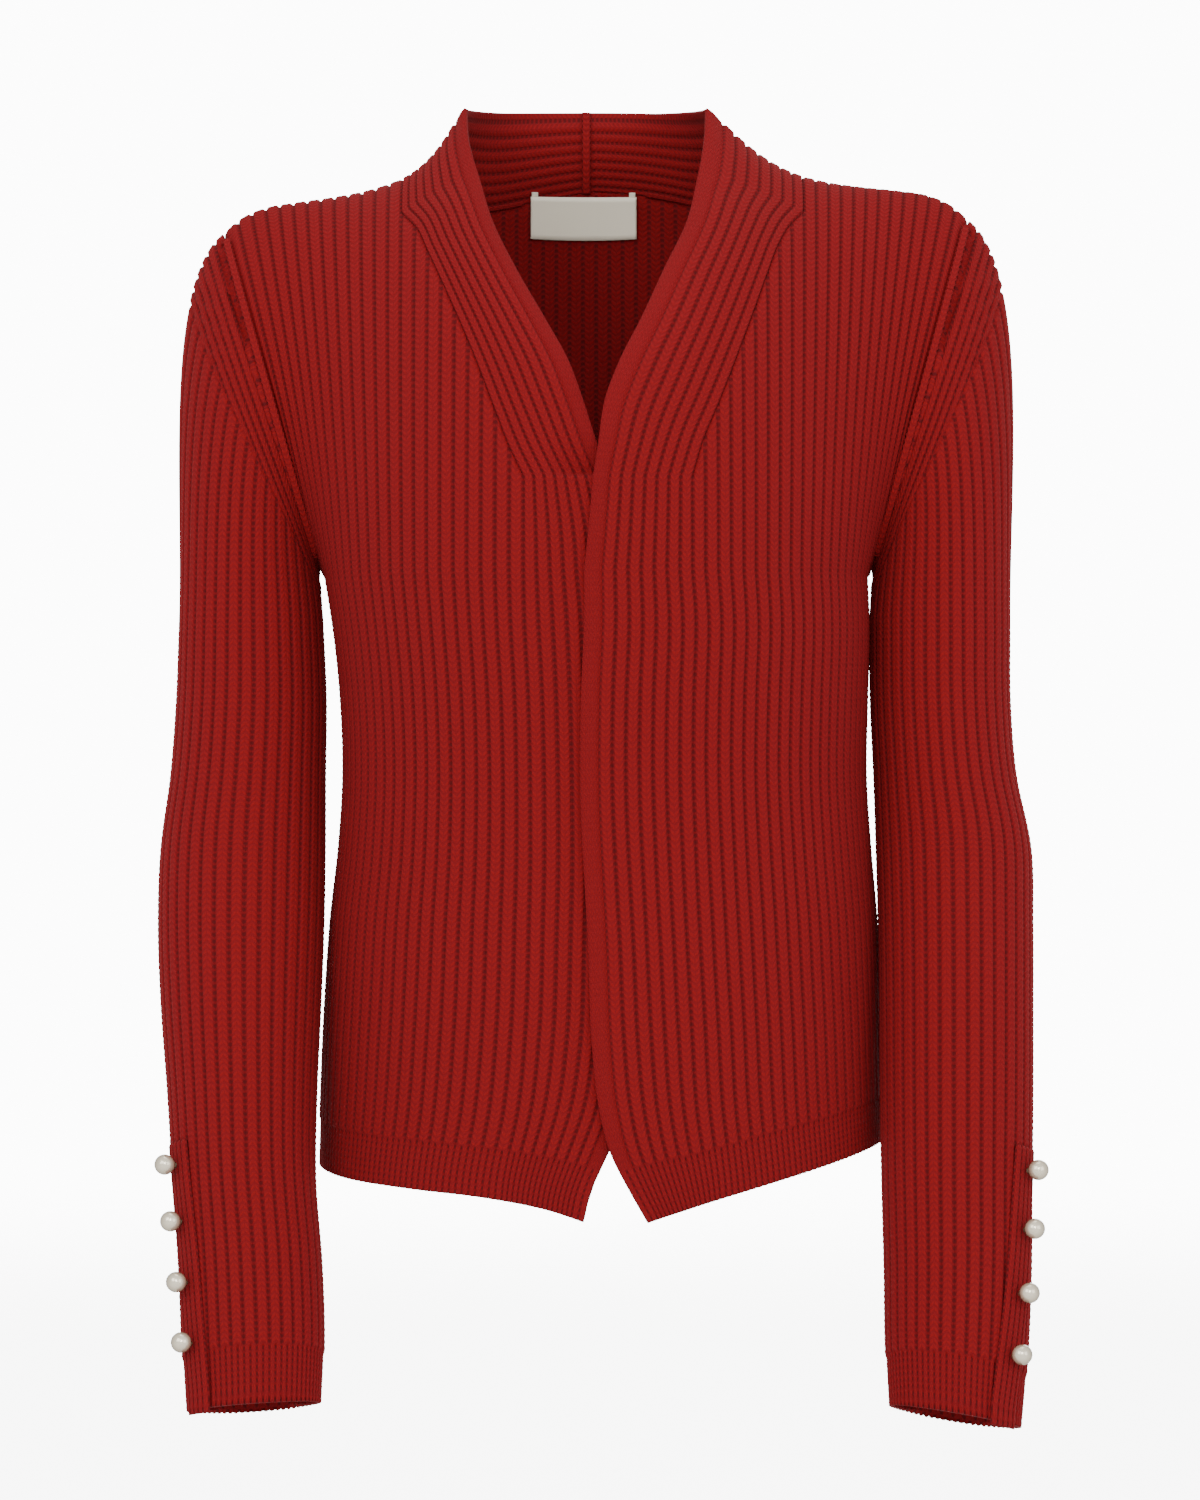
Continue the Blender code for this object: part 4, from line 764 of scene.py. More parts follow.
def line_table(side, top):
    """Fashioning line above BAND_START as a table: height, place."""
    ridge = UNDERARM + RIDGE_START * (NECK_TOP - UNDERARM)
    rows = [(BAND_START, top)]
    for step in range(1, STEPPED_RIBS + 1):
        place = top + (side - top) * step / PANEL_RIBS
        found = crossing(side, place, rows[-1][0] + 0.004)
        last = step == STEPPED_RIBS or found is None
        rows.append((ridge if last else min(found, ridge - 0.01), place))
    return rows


def grid_normals(points):
    """Normals of a grid of points, rows upwards and columns to the grid's right."""
    return unit(np.cross(np.gradient(points, axis=1), np.gradient(points, axis=0)))


def neck_edge_curve(side, start):
    """Neck edge from the front band's top to the side of the collar."""
    x_column = 2 if side > 0 else 3
    points = [start] + [np.array([row[x_column], row[1], row[0]]) for row in NECK_EDGE]
    points.append(np.array([NECK_MIDDLE + side * COLLAR_HALF_WIDTH, COLLAR_SIDE_Y, COLLAR_TOP[0]]))
    along = distances(np.array(points))
    table = np.column_stack((along / along[-1], points))
    return np.stack([table_value(table, c, np.linspace(0.0, 1.0, CURVE_POINTS)) for c in (1, 2, 3)], axis=1)


def collar_edge_curve(side):
    """Collar's top edge from its side to the middle of the back."""
    angle = np.linspace(0.0, math.pi / 2, CURVE_POINTS)
    power = 2.0 / NECK_ROUNDNESS
    turn, deep = np.clip(np.cos(angle), 0, 1) ** power, np.sin(angle) ** power
    x = NECK_MIDDLE + side * COLLAR_HALF_WIDTH * turn
    y = COLLAR_SIDE_Y + (COLLAR_BACK_Y - COLLAR_SIDE_Y) * deep
    z = COLLAR_TOP[0] + (COLLAR_TOP[1] - COLLAR_TOP[0]) * deep
    return np.stack([x, y, z], axis=1)


def collar_base(side):
    """Collar's base beside the back neckline from the corner to the middle, with the back's normals."""
    places = np.linspace(side * NECK_CORNER[side] / SHOULDER_TIP, NECK_MIDDLE / SHOULDER_TIP, 90)
    heights = np.array([back_column(place, 2)[-1] for place in places])
    points = torso_point(places, heights, 1)
    normals = torso_normal(places, heights, 1)
    inwards = unit(np.cross(normals, unit(np.gradient(points, axis=0))))
    to_middle = np.array([NECK_MIDDLE, COLLAR_BACK_Y / 2, 0.0]) - points
    inwards *= np.sign(np.sum(inwards * to_middle, axis=1, keepdims=True))
    points = points + inwards * SEAM_GAP
    along = distances(points)
    shares = np.linspace(0, 1, knit_rows(along[-1]) + 1)[1:]
    return resample(points, shares), unit(blend_along(normals, along, shares))


def band_profile():
    """Across the band from the fashioning line: rib position and share of the width."""
    ribs = across_ribs(0, BAND_RIBS, FRONT_STEPS)
    strip = BAND_RIBS + np.array(STRIP_PLACES)
    rib_share = 1 - EDGE_STRIP / BAND_WIDTH
    shares = np.concatenate((ribs / BAND_RIBS * rib_share, rib_share + (strip - BAND_RIBS) * (1 - rib_share)))
    return np.concatenate((ribs, strip)), shares


def band_lift(across, course, rise):
    """Relief of the band: ribs, then a flat plain strip with a rounded edge."""
    ribs = relief(across, course, rise)
    past = across - BAND_RIBS
    up = STRIP_UP[0] * ease(past / STRIP_UP[1])
    down = STRIP_DOWN[0] * ease((past - STRIP_DOWN[2]) / STRIP_DOWN[1])
    return np.where(past > 0, FINE_RISE * (up - down), ribs)


def make_front(side):
    """Shell of one front with its band and half collar."""
    shell = Shell()
    band_ribs, band_shares = band_profile()
    panel_ribs = across_ribs(0, PANEL_RIBS, FRONT_STEPS)[1:]
    level = np.array([HEM_LEVEL])
    start_edge, start_fashion = edge_place(side, level)[0], fashion_place(side, level)[0][0]
    start = np.concatenate((start_edge + (start_fashion - start_edge) * (1 - band_shares[::-1]),
                            start_fashion + (side - start_fashion) * panel_ribs / PANEL_RIBS))
    hems = table_value(HEM_LINE, column_of(side), np.abs(start - start_edge) / abs(side - start_edge))
    rows = knit_rows(BAND_START - hems.mean())
    heights = hems + (BAND_START - hems) * np.linspace(0, 1, rows + 1)[:, None]
    width = len(band_ribs)
    fashion, top = fashion_place(side, heights)
    edges = edge_place(side, heights)
    fan = panel_ribs / PANEL_RIBS
    places = np.concatenate((fashion[:, :width] + (edges - fashion)[:, :width] * band_shares[::-1],
                             fashion[:, width:] + (side - fashion[:, width:]) * fan), axis=1)
    base = torso_point(places, heights, -1)
    normals = torso_normal(places, heights, -1)
    order = slice(None, None, side)
    meet_armhole(base[:, order], normals[:, order], places[:, order], heights[:, order], side, -1)
    base[:, -1, 1] -= SEAM_GAP / 2
    if side < 0:
        base[..., 1] += under_push(base)

    course = np.arange(rows + 1)[:, None] / 2
    fine = knit_rows(FINE_BAND)
    across = np.concatenate((band_ribs[::-1], panel_ribs))
    lift = np.concatenate((band_lift(band_ribs[::-1][None], course, RIB_RISE),
                           relief(panel_ribs[None], course, RIB_RISE)), axis=1)
    lift[:fine] = relief(2 * across[None], course[:fine], FINE_RISE)
    lower = shell.add(base + normals * lift[..., None])
    edge_chart = chart_of((band_ribs[::-1] - BAND_RIBS)[None] * EDGE_STITCHES, course)
    band_chart = chart_of(band_ribs[::-1][None], course)
    panel_chart = chart_of(np.concatenate(([0.0], panel_ribs))[None], course)
    strip = len(STRIP_PLACES)
    shell.skin(lower[fine:, :strip + 1], edge_chart[fine:, :strip + 1], 1)
    shell.skin(lower[fine:, strip:width], band_chart[fine:, strip:])
    shell.skin(lower[fine:, width - 1:], panel_chart[fine:])
    shell.skin(lower[:fine + 1, :width], band_chart[:fine + 1] * [2, 1])
    shell.skin(lower[:fine + 1, width - 1:], panel_chart[:fine + 1] * [2, 1])

    # panel above the band's start: every row begins on the fashioning line
    table = line_table(side, top)
    dense = np.linspace(BAND_START, NECK_TOP, CURVE_POINTS)
    climb = distances(torso_point(CLIMB_PLACE * side, dense, -1))
    levels = np.interp(np.linspace(0, climb[-1], knit_rows(climb[-1]) + 1), climb, dense)
    first = table_value(table, 1, levels)
    first_rib = (first - top) / (side - top) * PANEL_RIBS
    upper_places = np.concatenate(([top], top + (side - top) * fan))
    upper_places, upper_heights = np.broadcast_arrays(upper_places, levels[:, None])
    upper = torso_point(upper_places, upper_heights, -1)
    upper_normals = torso_normal(upper_places, upper_heights, -1)
    meet_armhole(upper[:, order], upper_normals[:, order], upper_places[:, order],
                 upper_heights[:, order], side, -1)
    upper[:, -1, 1] -= SEAM_GAP / 2
    upper[-1, :, 1] = RIDGE_Y - SEAM_GAP / 2
    upper_normals[-1, :, 1] = 0.0
    upper_normals = unit(upper_normals)
    line = torso_point(first, levels, -1)
    line_normals = torso_normal(first, levels, -1)
    line[-1, 1] = RIDGE_Y - SEAM_GAP / 2
    line_normals[-1, 1] = 0.0
    line_normals = unit(line_normals)
    upper_ribs = np.concatenate(([0.0], panel_ribs))
    upper_course = rows / 2 + np.arange(len(levels)) / 2

    def panel_run(k, columns, wall):
        """Points of one row from the fashioning line to the armhole, as a run."""
        columns = columns[upper_ribs[columns] > first_rib[k] + LINE_CLEARANCE]
        ribs = np.concatenate(([first_rib[k]], upper_ribs[columns]))
        near = ease((ribs - first_rib[k]) / LINE_FADE)
        points = np.concatenate((line[k:k + 1], upper[k, columns]))
        outwards = np.concatenate((line_normals[k:k + 1], upper_normals[k, columns]))
        if wall:
            raised = -WALL - WALL_WAVE * np.cos(2 * math.pi * ribs)
        else:
            raised = relief(ribs, upper_course[k], RIB_RISE) * near
        index = shell.add(points + outwards * raised[:, None])
        return index, ribs, chart_of(ribs, upper_course[k])

    every = np.arange(1, len(upper_ribs))
    runs = [(lower[-1, width - 1:], upper_ribs, panel_chart[-1])]
    for k in range(1, len(levels)):
        runs.append(panel_run(k, every, False))
        shell.zip(runs[-2], runs[-1])

    # band and collar: stations along the fashioning line, then along the back's neckline
    along = distances(line)
    stations = np.linspace(0, 1, knit_rows(along[-1]) + 1)
    starts = resample(line, stations)
    seam_normals = blend_along(line_normals, along, stations)
    neck_edge = neck_edge_curve(side, base[-1, 0])
    back_points, back_normals = collar_base(side)
    way = distances(np.concatenate((starts[-1:], back_points)))
    collar_ends = resample(collar_edge_curve(side), way / way[-1])[1:]
    ends = np.concatenate((resample(neck_edge, stations), collar_ends))
    on_line = len(starts)
    starts = np.concatenate((starts, back_points))
    seam_normals = unit(np.concatenate((seam_normals, back_normals)))
    spans = ends - starts
    flat = spans - seam_normals * np.sum(spans * seam_normals, axis=1, keepdims=True)
    middle = starts + unit(flat) * np.linalg.norm(spans, axis=1, keepdims=True) * BAND_LEAD
    u = band_shares[None, :, None]
    collar = starts[:, None] * (1 - u) ** 2 + middle[:, None] * 2 * u * (1 - u) + ends[:, None] * u ** 2
    fade = ease(distances(starts) / BLEND_REACH)[:, None, None]
    collar = collar + (base[-1, :width][::-1] - collar[0])[None] * (1 - fade)
    collar_normals = grid_normals(collar) * -side
    toward = ease(band_ribs)[None, :, None]
    collar_normals = unit(collar_normals * toward + seam_normals[:, None] * (1 - toward))
    collar[-1, :, 0] = NECK_MIDDLE + side * SEAM_GAP / 2
    collar_normals[-1, :, 0] = 0.0
    collar_normals = unit(collar_normals)
    if side < 0:
        collar[1:on_line, 1:, 1] += under_push(collar[1:on_line, 1:])
    station_course = rows / 2 + np.arange(len(collar)) / 2
    collar_lift = band_lift(band_ribs[None], station_course[:, None], RIB_RISE)
    collar_lift[:, 0] -= LINE_DEPTH
    collar_index = np.concatenate((lower[-1:, :width][:, ::-1],
                                   shell.add((collar + collar_normals * collar_lift[..., None])[1:])))
    collar_chart = chart_of(band_ribs[None], station_course[:, None])
    collar_edge_chart = chart_of((band_ribs - BAND_RIBS)[None] * EDGE_STITCHES, station_course[:, None])
    shell.skin(collar_index[:, :width - strip], collar_chart[:, :width - strip])
    shell.skin(collar_index[:, width - strip - 1:], collar_edge_chart[:, width - strip - 1:], 1)
    line_keys = along / along[-1]
    panel_edge = (np.array([run[0][0] for run in runs]), line_keys, np.array([run[2][0] for run in runs]))
    shell.zip(panel_edge, (collar_index[:on_line, 0], stations, collar_chart[:on_line, 0]))

    # inside, coarser, with its ribs showing on the collar
    kept_rows = sorted(set(range(0, rows + 1, INSIDE_STEP)) | {rows})
    kept_columns = sorted({0, strip, width - 1, len(across) - 1} | set(range(strip, width, INSIDE_COLUMN))
                          | set(range(width + 2, len(across), INSIDE_COLUMN)))
    grid = np.ix_(kept_rows, kept_columns)
    whole_chart = np.concatenate((band_chart, panel_chart[:, 1:]), axis=1)
    inner = shell.add(base[grid] - normals[grid] * WALL)
    shell.skin(inner, whole_chart[grid])
    band_kept = [c for c in kept_columns if c < width]
    panel_kept = np.array([c for c in kept_columns if c >= width])
    inner_runs = [(inner[-1, len(band_kept) - 1:], np.concatenate(([0.0], across[panel_kept])),
                   chart_of(np.concatenate(([0.0], across[panel_kept])), upper_course[0]))]
    inner_levels = sorted(set(range(INSIDE_STEP, len(levels), INSIDE_STEP)) | {len(levels) - 1})
    for k in inner_levels:
        inner_runs.append(panel_run(k, panel_kept - width + 1, True))
        shell.zip(inner_runs[-2], inner_runs[-1])
    inside_stations = sorted(set(range(2, len(collar), 2)) | {len(collar) - 1, on_line - 1})
    inside_ribs = np.linspace(0, BAND_RIBS, 4 * BAND_RIBS + 1)
    inside_across = np.concatenate((inside_ribs, band_ribs[-strip::2], [band_ribs[-1]]))
    inside_points = np.stack([[np.interp(inside_across, band_ribs, collar[k, :, c]) for c in range(3)]
                              for k in inside_stations]).transpose(0, 2, 1)
    inside_normals = unit(np.stack([[np.interp(inside_across, band_ribs, collar_normals[k, :, c])
                                     for c in range(3)] for k in inside_stations]).transpose(0, 2, 1))
    depth = WALL + np.where(inside_across > BAND_RIBS, 0.0, COLLAR_WAVE * np.cos(2 * math.pi * inside_across))
    inside = shell.add(inside_points - inside_normals * depth[None, :, None])
    inside_chart = chart_of(inside_across[None] + 0.5, station_course[inside_stations][:, None])
    shell.skin(inside, inside_chart)

    # the seam of the collar to the back, and of its two halves, shows as a cord on the inside
    lowered = inside_points - inside_normals * CORD_DEPTH
    neck = [row for row, k in enumerate(inside_stations)
            if k >= on_line - 1 and not LABEL_REACH[0] < lowered[row, 1, 0] < LABEL_REACH[1]]
    chain(shell, lowered[neck, 1], inside_normals[neck, 1], *NECK_CORD)
    if side > 0:
        chain(shell, lowered[-1, :-1], inside_normals[-1, :-1], *MIDDLE_CORD)

    # the inside's joins at the band's start and along the fashioning line
    first_run = (inner[-1, :len(band_kept)][::-1], across[band_kept][::-1], whole_chart[-1, band_kept][::-1])
    shell.zip(first_run, (inside[0], inside_across, inside_chart[0]))
    stations_kept = np.concatenate(([0], [k for k in inside_stations if k < on_line]))
    inner_line = np.concatenate((inner[-1, len(band_kept) - 1:len(band_kept)],
                                 inside[:len(stations_kept) - 1, 0]))
    inner_edge = (np.array([run[0][0] for run in inner_runs]), line_keys[[0] + inner_levels],
                  np.array([run[2][0] for run in inner_runs]))
    shell.zip(inner_edge, (inner_line, stations[stations_kept], collar_chart[stations_kept, 0]))

    # rims along the hem, the front and neck edge, the side, armhole and shoulder, and the collar's seams
    shell.zip((lower[0], np.arange(len(across)), whole_chart[0]),
              (inner[0], np.array(kept_columns), whole_chart[0, kept_columns]))
    outer_edge = np.concatenate((lower[:, 0], collar_index[1:, -1]))
    outer_keys = np.arange(len(outer_edge))
    outer_chart = chart_of(0.5, outer_keys / 2)
    inner_keys = np.concatenate((kept_rows, rows + np.array(inside_stations)))
    shell.zip((outer_edge, outer_keys, outer_chart),
              (np.concatenate((inner[:, 0], inside[:, -1])), inner_keys, chart_of(0.5, inner_keys / 2)), 1)
    side_edge = np.concatenate((lower[:, -1], [run[0][-1] for run in runs[1:]]))
    side_keys = np.arange(len(side_edge))
    inner_side = np.concatenate((inner[:, -1], [run[0][-1] for run in inner_runs[1:]]))
    inner_side_keys = np.concatenate((kept_rows, rows + np.array(inner_levels)))
    shell.zip((side_edge, side_keys, chart_of(0.0, side_keys / 2)),
              (inner_side, inner_side_keys, chart_of(0.0, inner_side_keys / 2)))
    shell.zip(runs[-1], inner_runs[-1])
    shell.zip((collar_index[-1], band_ribs, collar_chart[-1]), (inside[-1], inside_across, inside_chart[-1]))
    neck_keys = np.arange(on_line - 1, len(collar))
    kept_neck = [k for k in inside_stations if k >= on_line - 1]
    shell.zip((collar_index[on_line - 1:, 0], neck_keys, collar_chart[on_line - 1:, 0]),
              (inside[-len(kept_neck):, 0], np.array(kept_neck), collar_chart[kept_neck, 0]))
    return shell.build(f"front_{SIDE_NAMES[side]}_shell", [rib_wool, plain_wool])


for side, word in SIDE_NAMES.items():
    front = make_front(side)
    dress(front, f"front_{word}")


# ---------------------------------------------------------------- sleeves
# Each sleeve is one tube of the rib, closed under the arm and slit at the cuff. Round the armhole its head
# has ribs that follow the seam; the upright ribs end on a fashioning line below them.
SLEEVE_RIBS = 34
SLEEVE_PITCH = 0.0068
VENT_RIB = 13                  # rib from the inner side at which the cuff is slit
VENT_LENGTH = 0.130
VENT_HALF_GAP = 0.0004
ARMHOLE_GAP = 0.00045
HEAD_ROWS = 100                # rows from the armhole to the tube
HEAD_FULLNESS = 0.62           # how strongly the head keeps the direction in which it leaves
HEAD_RIBS = (3.0, 3.0)         # ribs beside the seam: under the arm, and how many more at the outer side
HEAD_OUT = (0.35, 0.50)        # how far the head leaves the armhole sideways: under the arm, and more outside
HEAD_FORWARD = -0.30           # how far to the front and back
HEAD_DOWN = (-1.0, 0.25)       # how far downwards, and less outside
HEAD_LINE = (0.25, 0.0018)     # relief left on the head's fashioning line, and how far off it is whole
SEAM_BLEND = 0.012             # length over which the seam's normals turn into the head's
SEAM_CORD = (0.0020, 0.0006)   # turned-in edges of the armhole seam: half width, half depth
SEAM_CORD_DEPTH = WALL + 0.0015
TUBE_LEAD = -0.280             # the head arrives in the direction of the tube at this height
TUBE_TOP = -0.232
TUBE_BOTTOM = -0.634
ELBOW = -0.350
SLOPE_START = -0.500
CUFF_DROP = {1: 0.005, -1: 0.0}      # how much lower the cuff hangs
CUFF_SLOPE = {1: 0.17, -1: 0.07}      # fall of the cuff towards its outer side
# Sleeve: height, inner and outer side on the left, the same on the right, depth, half depth
SLEEVE_RINGS = (
    (-0.232, 0.1460, 0.2180, 0.1455, 0.2195, -0.0030, 0.0385),
    (-0.270, 0.1462, 0.2180, 0.1438, 0.2208, -0.0050, 0.0390),
    (-0.310, 0.1478, 0.2208, 0.1440, 0.2235, -0.0090, 0.0395),
    (-0.350, 0.1488, 0.2282, 0.1438, 0.2282, -0.0160, 0.0400),
    (-0.390, 0.1494, 0.2283, 0.1440, 0.2287, -0.0270, 0.0395),
    (-0.430, 0.1494, 0.2275, 0.1450, 0.2264, -0.0385, 0.0380),
    (-0.475, 0.1492, 0.2266, 0.1465, 0.2222, -0.0500, 0.0360),
    (-0.520, 0.1495, 0.2252, 0.1465, 0.2185, -0.0620, 0.0335),
    (-0.565, 0.1500, 0.2238, 0.1425, 0.2145, -0.0750, 0.0310),
    (-0.605, 0.1500, 0.2208, 0.1408, 0.2118, -0.0870, 0.0285),
    (-0.634, 0.1510, 0.2175, 0.1415, 0.2092, -0.0975, 0.0270),
)


def tube_point(side, around, height):
    """A point of the sleeve's tube: around 0 inner side, 0.25 front, 0.5 outer side, 0.75 back."""
    around, height = np.broadcast_arrays(np.asarray(around, float), np.asarray(height, float))
    columns = (1, 2, 5, 6) if side > 0 else (3, 4, 5, 6)
    inner, outer, depth, half_depth = (table_value(SLEEVE_RINGS, c, height) for c in columns)
    centre, half_width = (inner + outer) / 2, (outer - inner) / 2
    angle = 2 * math.pi * around
    step = 0.004
    ahead, behind = (table_value(SLEEVE_RINGS, 5, height + d) for d in (-step, step))
    tilt = np.arctan2(behind - ahead, 2 * step)
    across = centre - half_width * np.cos(angle)
    reach = -half_depth * np.sin(angle)
    drop = CUFF_DROP[side] * ease((ELBOW - height) / (ELBOW - TUBE_BOTTOM))
    slope = CUFF_SLOPE[side] * ease((SLOPE_START - height) / (SLOPE_START - TUBE_BOTTOM))
    z = height - drop - reach * np.sin(tilt) - slope * (across - centre)
    return np.stack([side * across, depth + reach * np.cos(tilt), z], axis=-1)


def armhole_loop(side, around):
    """Points and normals of the armhole at places round the sleeve, which rise."""
    rises = np.sin(np.linspace(0.0, math.pi / 2, 300))
    points, normals = [], []
    for face in (-1, 1):
        edge = armhole(side, face, rises)
        edge_normals = armhole_normals(edge, rises, side, face)
        along = distances(edge)
        along = along / along[-1] / 2
        if face > 0:
            along, edge, edge_normals = 1 - along[::-1], edge[::-1], edge_normals[::-1]
        at = around[(around < 0.5) if face < 0 else (around >= 0.5)]
        for values, found in ((edge, points), (edge_normals, normals)):
            found.append(np.stack([np.interp(at, along, values[:, axis]) for axis in range(3)], axis=1))
    return np.concatenate(points), unit(np.concatenate(normals))


def sleeve_grid(side, ribs):
    """Base points and normals of a sleeve, armhole first, its first column at the vent."""
    around = ((ribs + VENT_RIB) % SLEEVE_RIBS) / SLEEVE_RIBS
    order = np.argsort(around, kind="stable")
    seam, seam_normals = np.empty((len(ribs), 3)), np.empty((len(ribs), 3))
    seam[order], seam_normals[order] = armhole_loop(side, around[order])
    seam = seam + np.array([side * ARMHOLE_GAP, 0.0, 0.0])
    ring = tube_point(side, around, TUBE_TOP)
    reach = np.linalg.norm(ring - seam, axis=1, keepdims=True)
    outer = np.sin(math.pi * around) ** 2
    sideways = side * (HEAD_OUT[0] + HEAD_OUT[1] * outer)
    forward = HEAD_FORWARD * np.sin(2 * math.pi * around)
    fullness = np.stack([sideways, forward, HEAD_DOWN[0] + HEAD_DOWN[1] * outer], axis=1)
    leave = HEAD_FULLNESS * unit(fullness)
    arrive = unit(tube_point(side, around, TUBE_LEAD) - ring)
    rows = []
    for u in np.linspace(0.0, 1.0, HEAD_ROWS + 1)[:-1]:
        rise = u * u * (3 - 2 * u)
        rows.append(seam * (1 - rise) + ring * rise
                    + leave * reach * u * (1 - u) ** 2 - arrive * reach * u * u * (1 - u))
    heights = np.linspace(TUBE_TOP, TUBE_BOTTOM, knit_rows(TUBE_TOP - TUBE_BOTTOM) + 1)
    grid = np.concatenate((rows, tube_point(side, around[None], heights[:, None])))
    wrapped = np.concatenate((grid[:, -2:-1], grid, grid[:, 1:2]), axis=1)
    normals = grid_normals(wrapped)[:, 1:-1] * -side
    near = ease(distances(grid) / SEAM_BLEND)[..., None]
    return grid, unit(normals * near + seam_normals * (1 - near)), around


def make_sleeve(side):
    """Shell of a sleeve."""
    shell = Shell()
    ribs = across_ribs(0, SLEEVE_RIBS, FRONT_STEPS)
    grid, normals, around = sleeve_grid(side, ribs)
    down = distances(grid)
    head_width = (HEAD_RIBS[0] + HEAD_RIBS[1] * np.sin(math.pi * around) ** 2) * SLEEVE_PITCH
    in_head = down < head_width[None]
    in_head[HEAD_ROWS:] = False
    row = np.arange(len(grid))[:, None]
    course = np.where(row > HEAD_ROWS, (row - HEAD_ROWS) / 2, (down - down[HEAD_ROWS]) / COURSE)
    swell = np.where(row > HEAD_ROWS, course, 0.25)      # a quarter stitch on: no swell on the head
    lift = relief(ribs[None], swell, RIB_RISE)
    lift = np.where(in_head, relief(down / SLEEVE_PITCH, 0.25, RIB_RISE), lift)
    beside = ease(np.abs(down - head_width) / HEAD_LINE[1])
    lift *= np.where(row < HEAD_ROWS, HEAD_LINE[0] + (1 - HEAD_LINE[0]) * beside, 1.0)
    fine = len(grid) - knit_rows(FINE_BAND)
    lift[fine:] = relief(2 * ribs[None], course[fine:], FINE_RISE)
    slit = len(grid) - 1 - knit_rows(VENT_LENGTH)
    for c, inward in ((0, 1), (-1, -2)):
        grid[slit + 1:, c] += unit(grid[slit + 1:, inward] - grid[slit + 1:, c]) * VENT_HALF_GAP
    outer = shell.add(grid + normals * lift[..., None])
    outer[:slit + 1, -1] = outer[:slit + 1, 0]
    rib_chart = chart_of(ribs[None], course)
    seam_chart = chart_of(down / SLEEVE_PITCH, distances(grid[0])[None] / COURSE)
    head_faces = in_head[1:, 1:]
    shell.skin(outer[:fine + 1], seam_chart[:fine + 1], only=head_faces[:fine])
    shell.skin(outer[:fine + 1], rib_chart[:fine + 1], only=~head_faces[:fine])
    shell.skin(outer[fine:], rib_chart[fine:] * [2, 1])

    seam_normals = normals[0]
    chain(shell, grid[0] - seam_normals * SEAM_CORD_DEPTH, seam_normals, *SEAM_CORD)

    rows = sorted(set(range(0, len(grid), INSIDE_STEP)) | {slit, len(grid) - 1})
    columns = list(range(0, len(ribs), INSIDE_COLUMN))
    cut = np.ix_(rows, columns)
    inward = WALL + WALL_WAVE * np.cos(2 * math.pi * ribs[columns])
    inner = shell.add(grid[cut] - normals[cut] * inward[None, :, None])
    shared = np.array(rows) <= slit
    inner[shared, -1] = inner[shared, 0]
    shell.skin(inner, rib_chart[cut] + [0.5, 0])
    for r in (0, -1):
        shell.zip((outer[r], ribs, rib_chart[r]), (inner[r], ribs[columns], rib_chart[r][columns]))
    below = [r for r in rows if r >= slit]
    keys = np.arange(slit, len(grid))
    for c in (0, -1):
        shell.zip((outer[slit:, c], keys, rib_chart[slit:, c]),
                  (inner[-len(below):, c], np.array(below), rib_chart[below, c]))
    return shell.build(f"sleeve_{SIDE_NAMES[side]}_shell", [rib_wool])


for side, word, widest in ((1, "left", 0.25), (-1, "right", 0.26)):
    sleeve = make_sleeve(side)
    dress(sleeve, f"sleeve_{word}")


# ---------------------------------------------------------------- plackets
# A narrow strip of fine rib in the same wool, sewn over each cuff's slit along its long edges. It hangs a
# little below the cuff, and the pearls stand on it.
PLACKET_WIDTH = 0.0155
PLACKET_REACH = 0.003          # how far it hangs below the cuff
PLACKET_LIFT = 0.0014 + 0.0005 + WALL      # the solids' ribs, a gap and the strip, over the sleeve's valleys
PLACKET_RIBS = 5
PLACKET_RISE = 0.0006
PLACKET_STEPS = 6              # points across each of its ribs
PLACKET_ROUNDING = (0.0018, 0.0009)        # along its edges: width, depth
CUFF_GIRTH = 0.205
PLACKET_PLACES = {1: (0.415, 0.365), -1: (0.415, 0.388)}      # round the sleeve: vent's top, cuff


def cuff_surface(side, around, height):
    """Valley surface and normal of the sleeve near its cuff."""
    point = tube_point(side, around, height)
    round_step = tube_point(side, around + 0.002, height) - tube_point(side, around - 0.002, height)
    down_step = tube_point(side, around, height - 0.002) - tube_point(side, around, height + 0.002)
    return point, unit(np.cross(round_step, down_step)) * -side


def placket_place(side, height):
    """Middle of the placket round the sleeve."""
    top, cuff = PLACKET_PLACES[side]
    return cuff + (top - cuff) * (height - TUBE_BOTTOM) / VENT_LENGTH


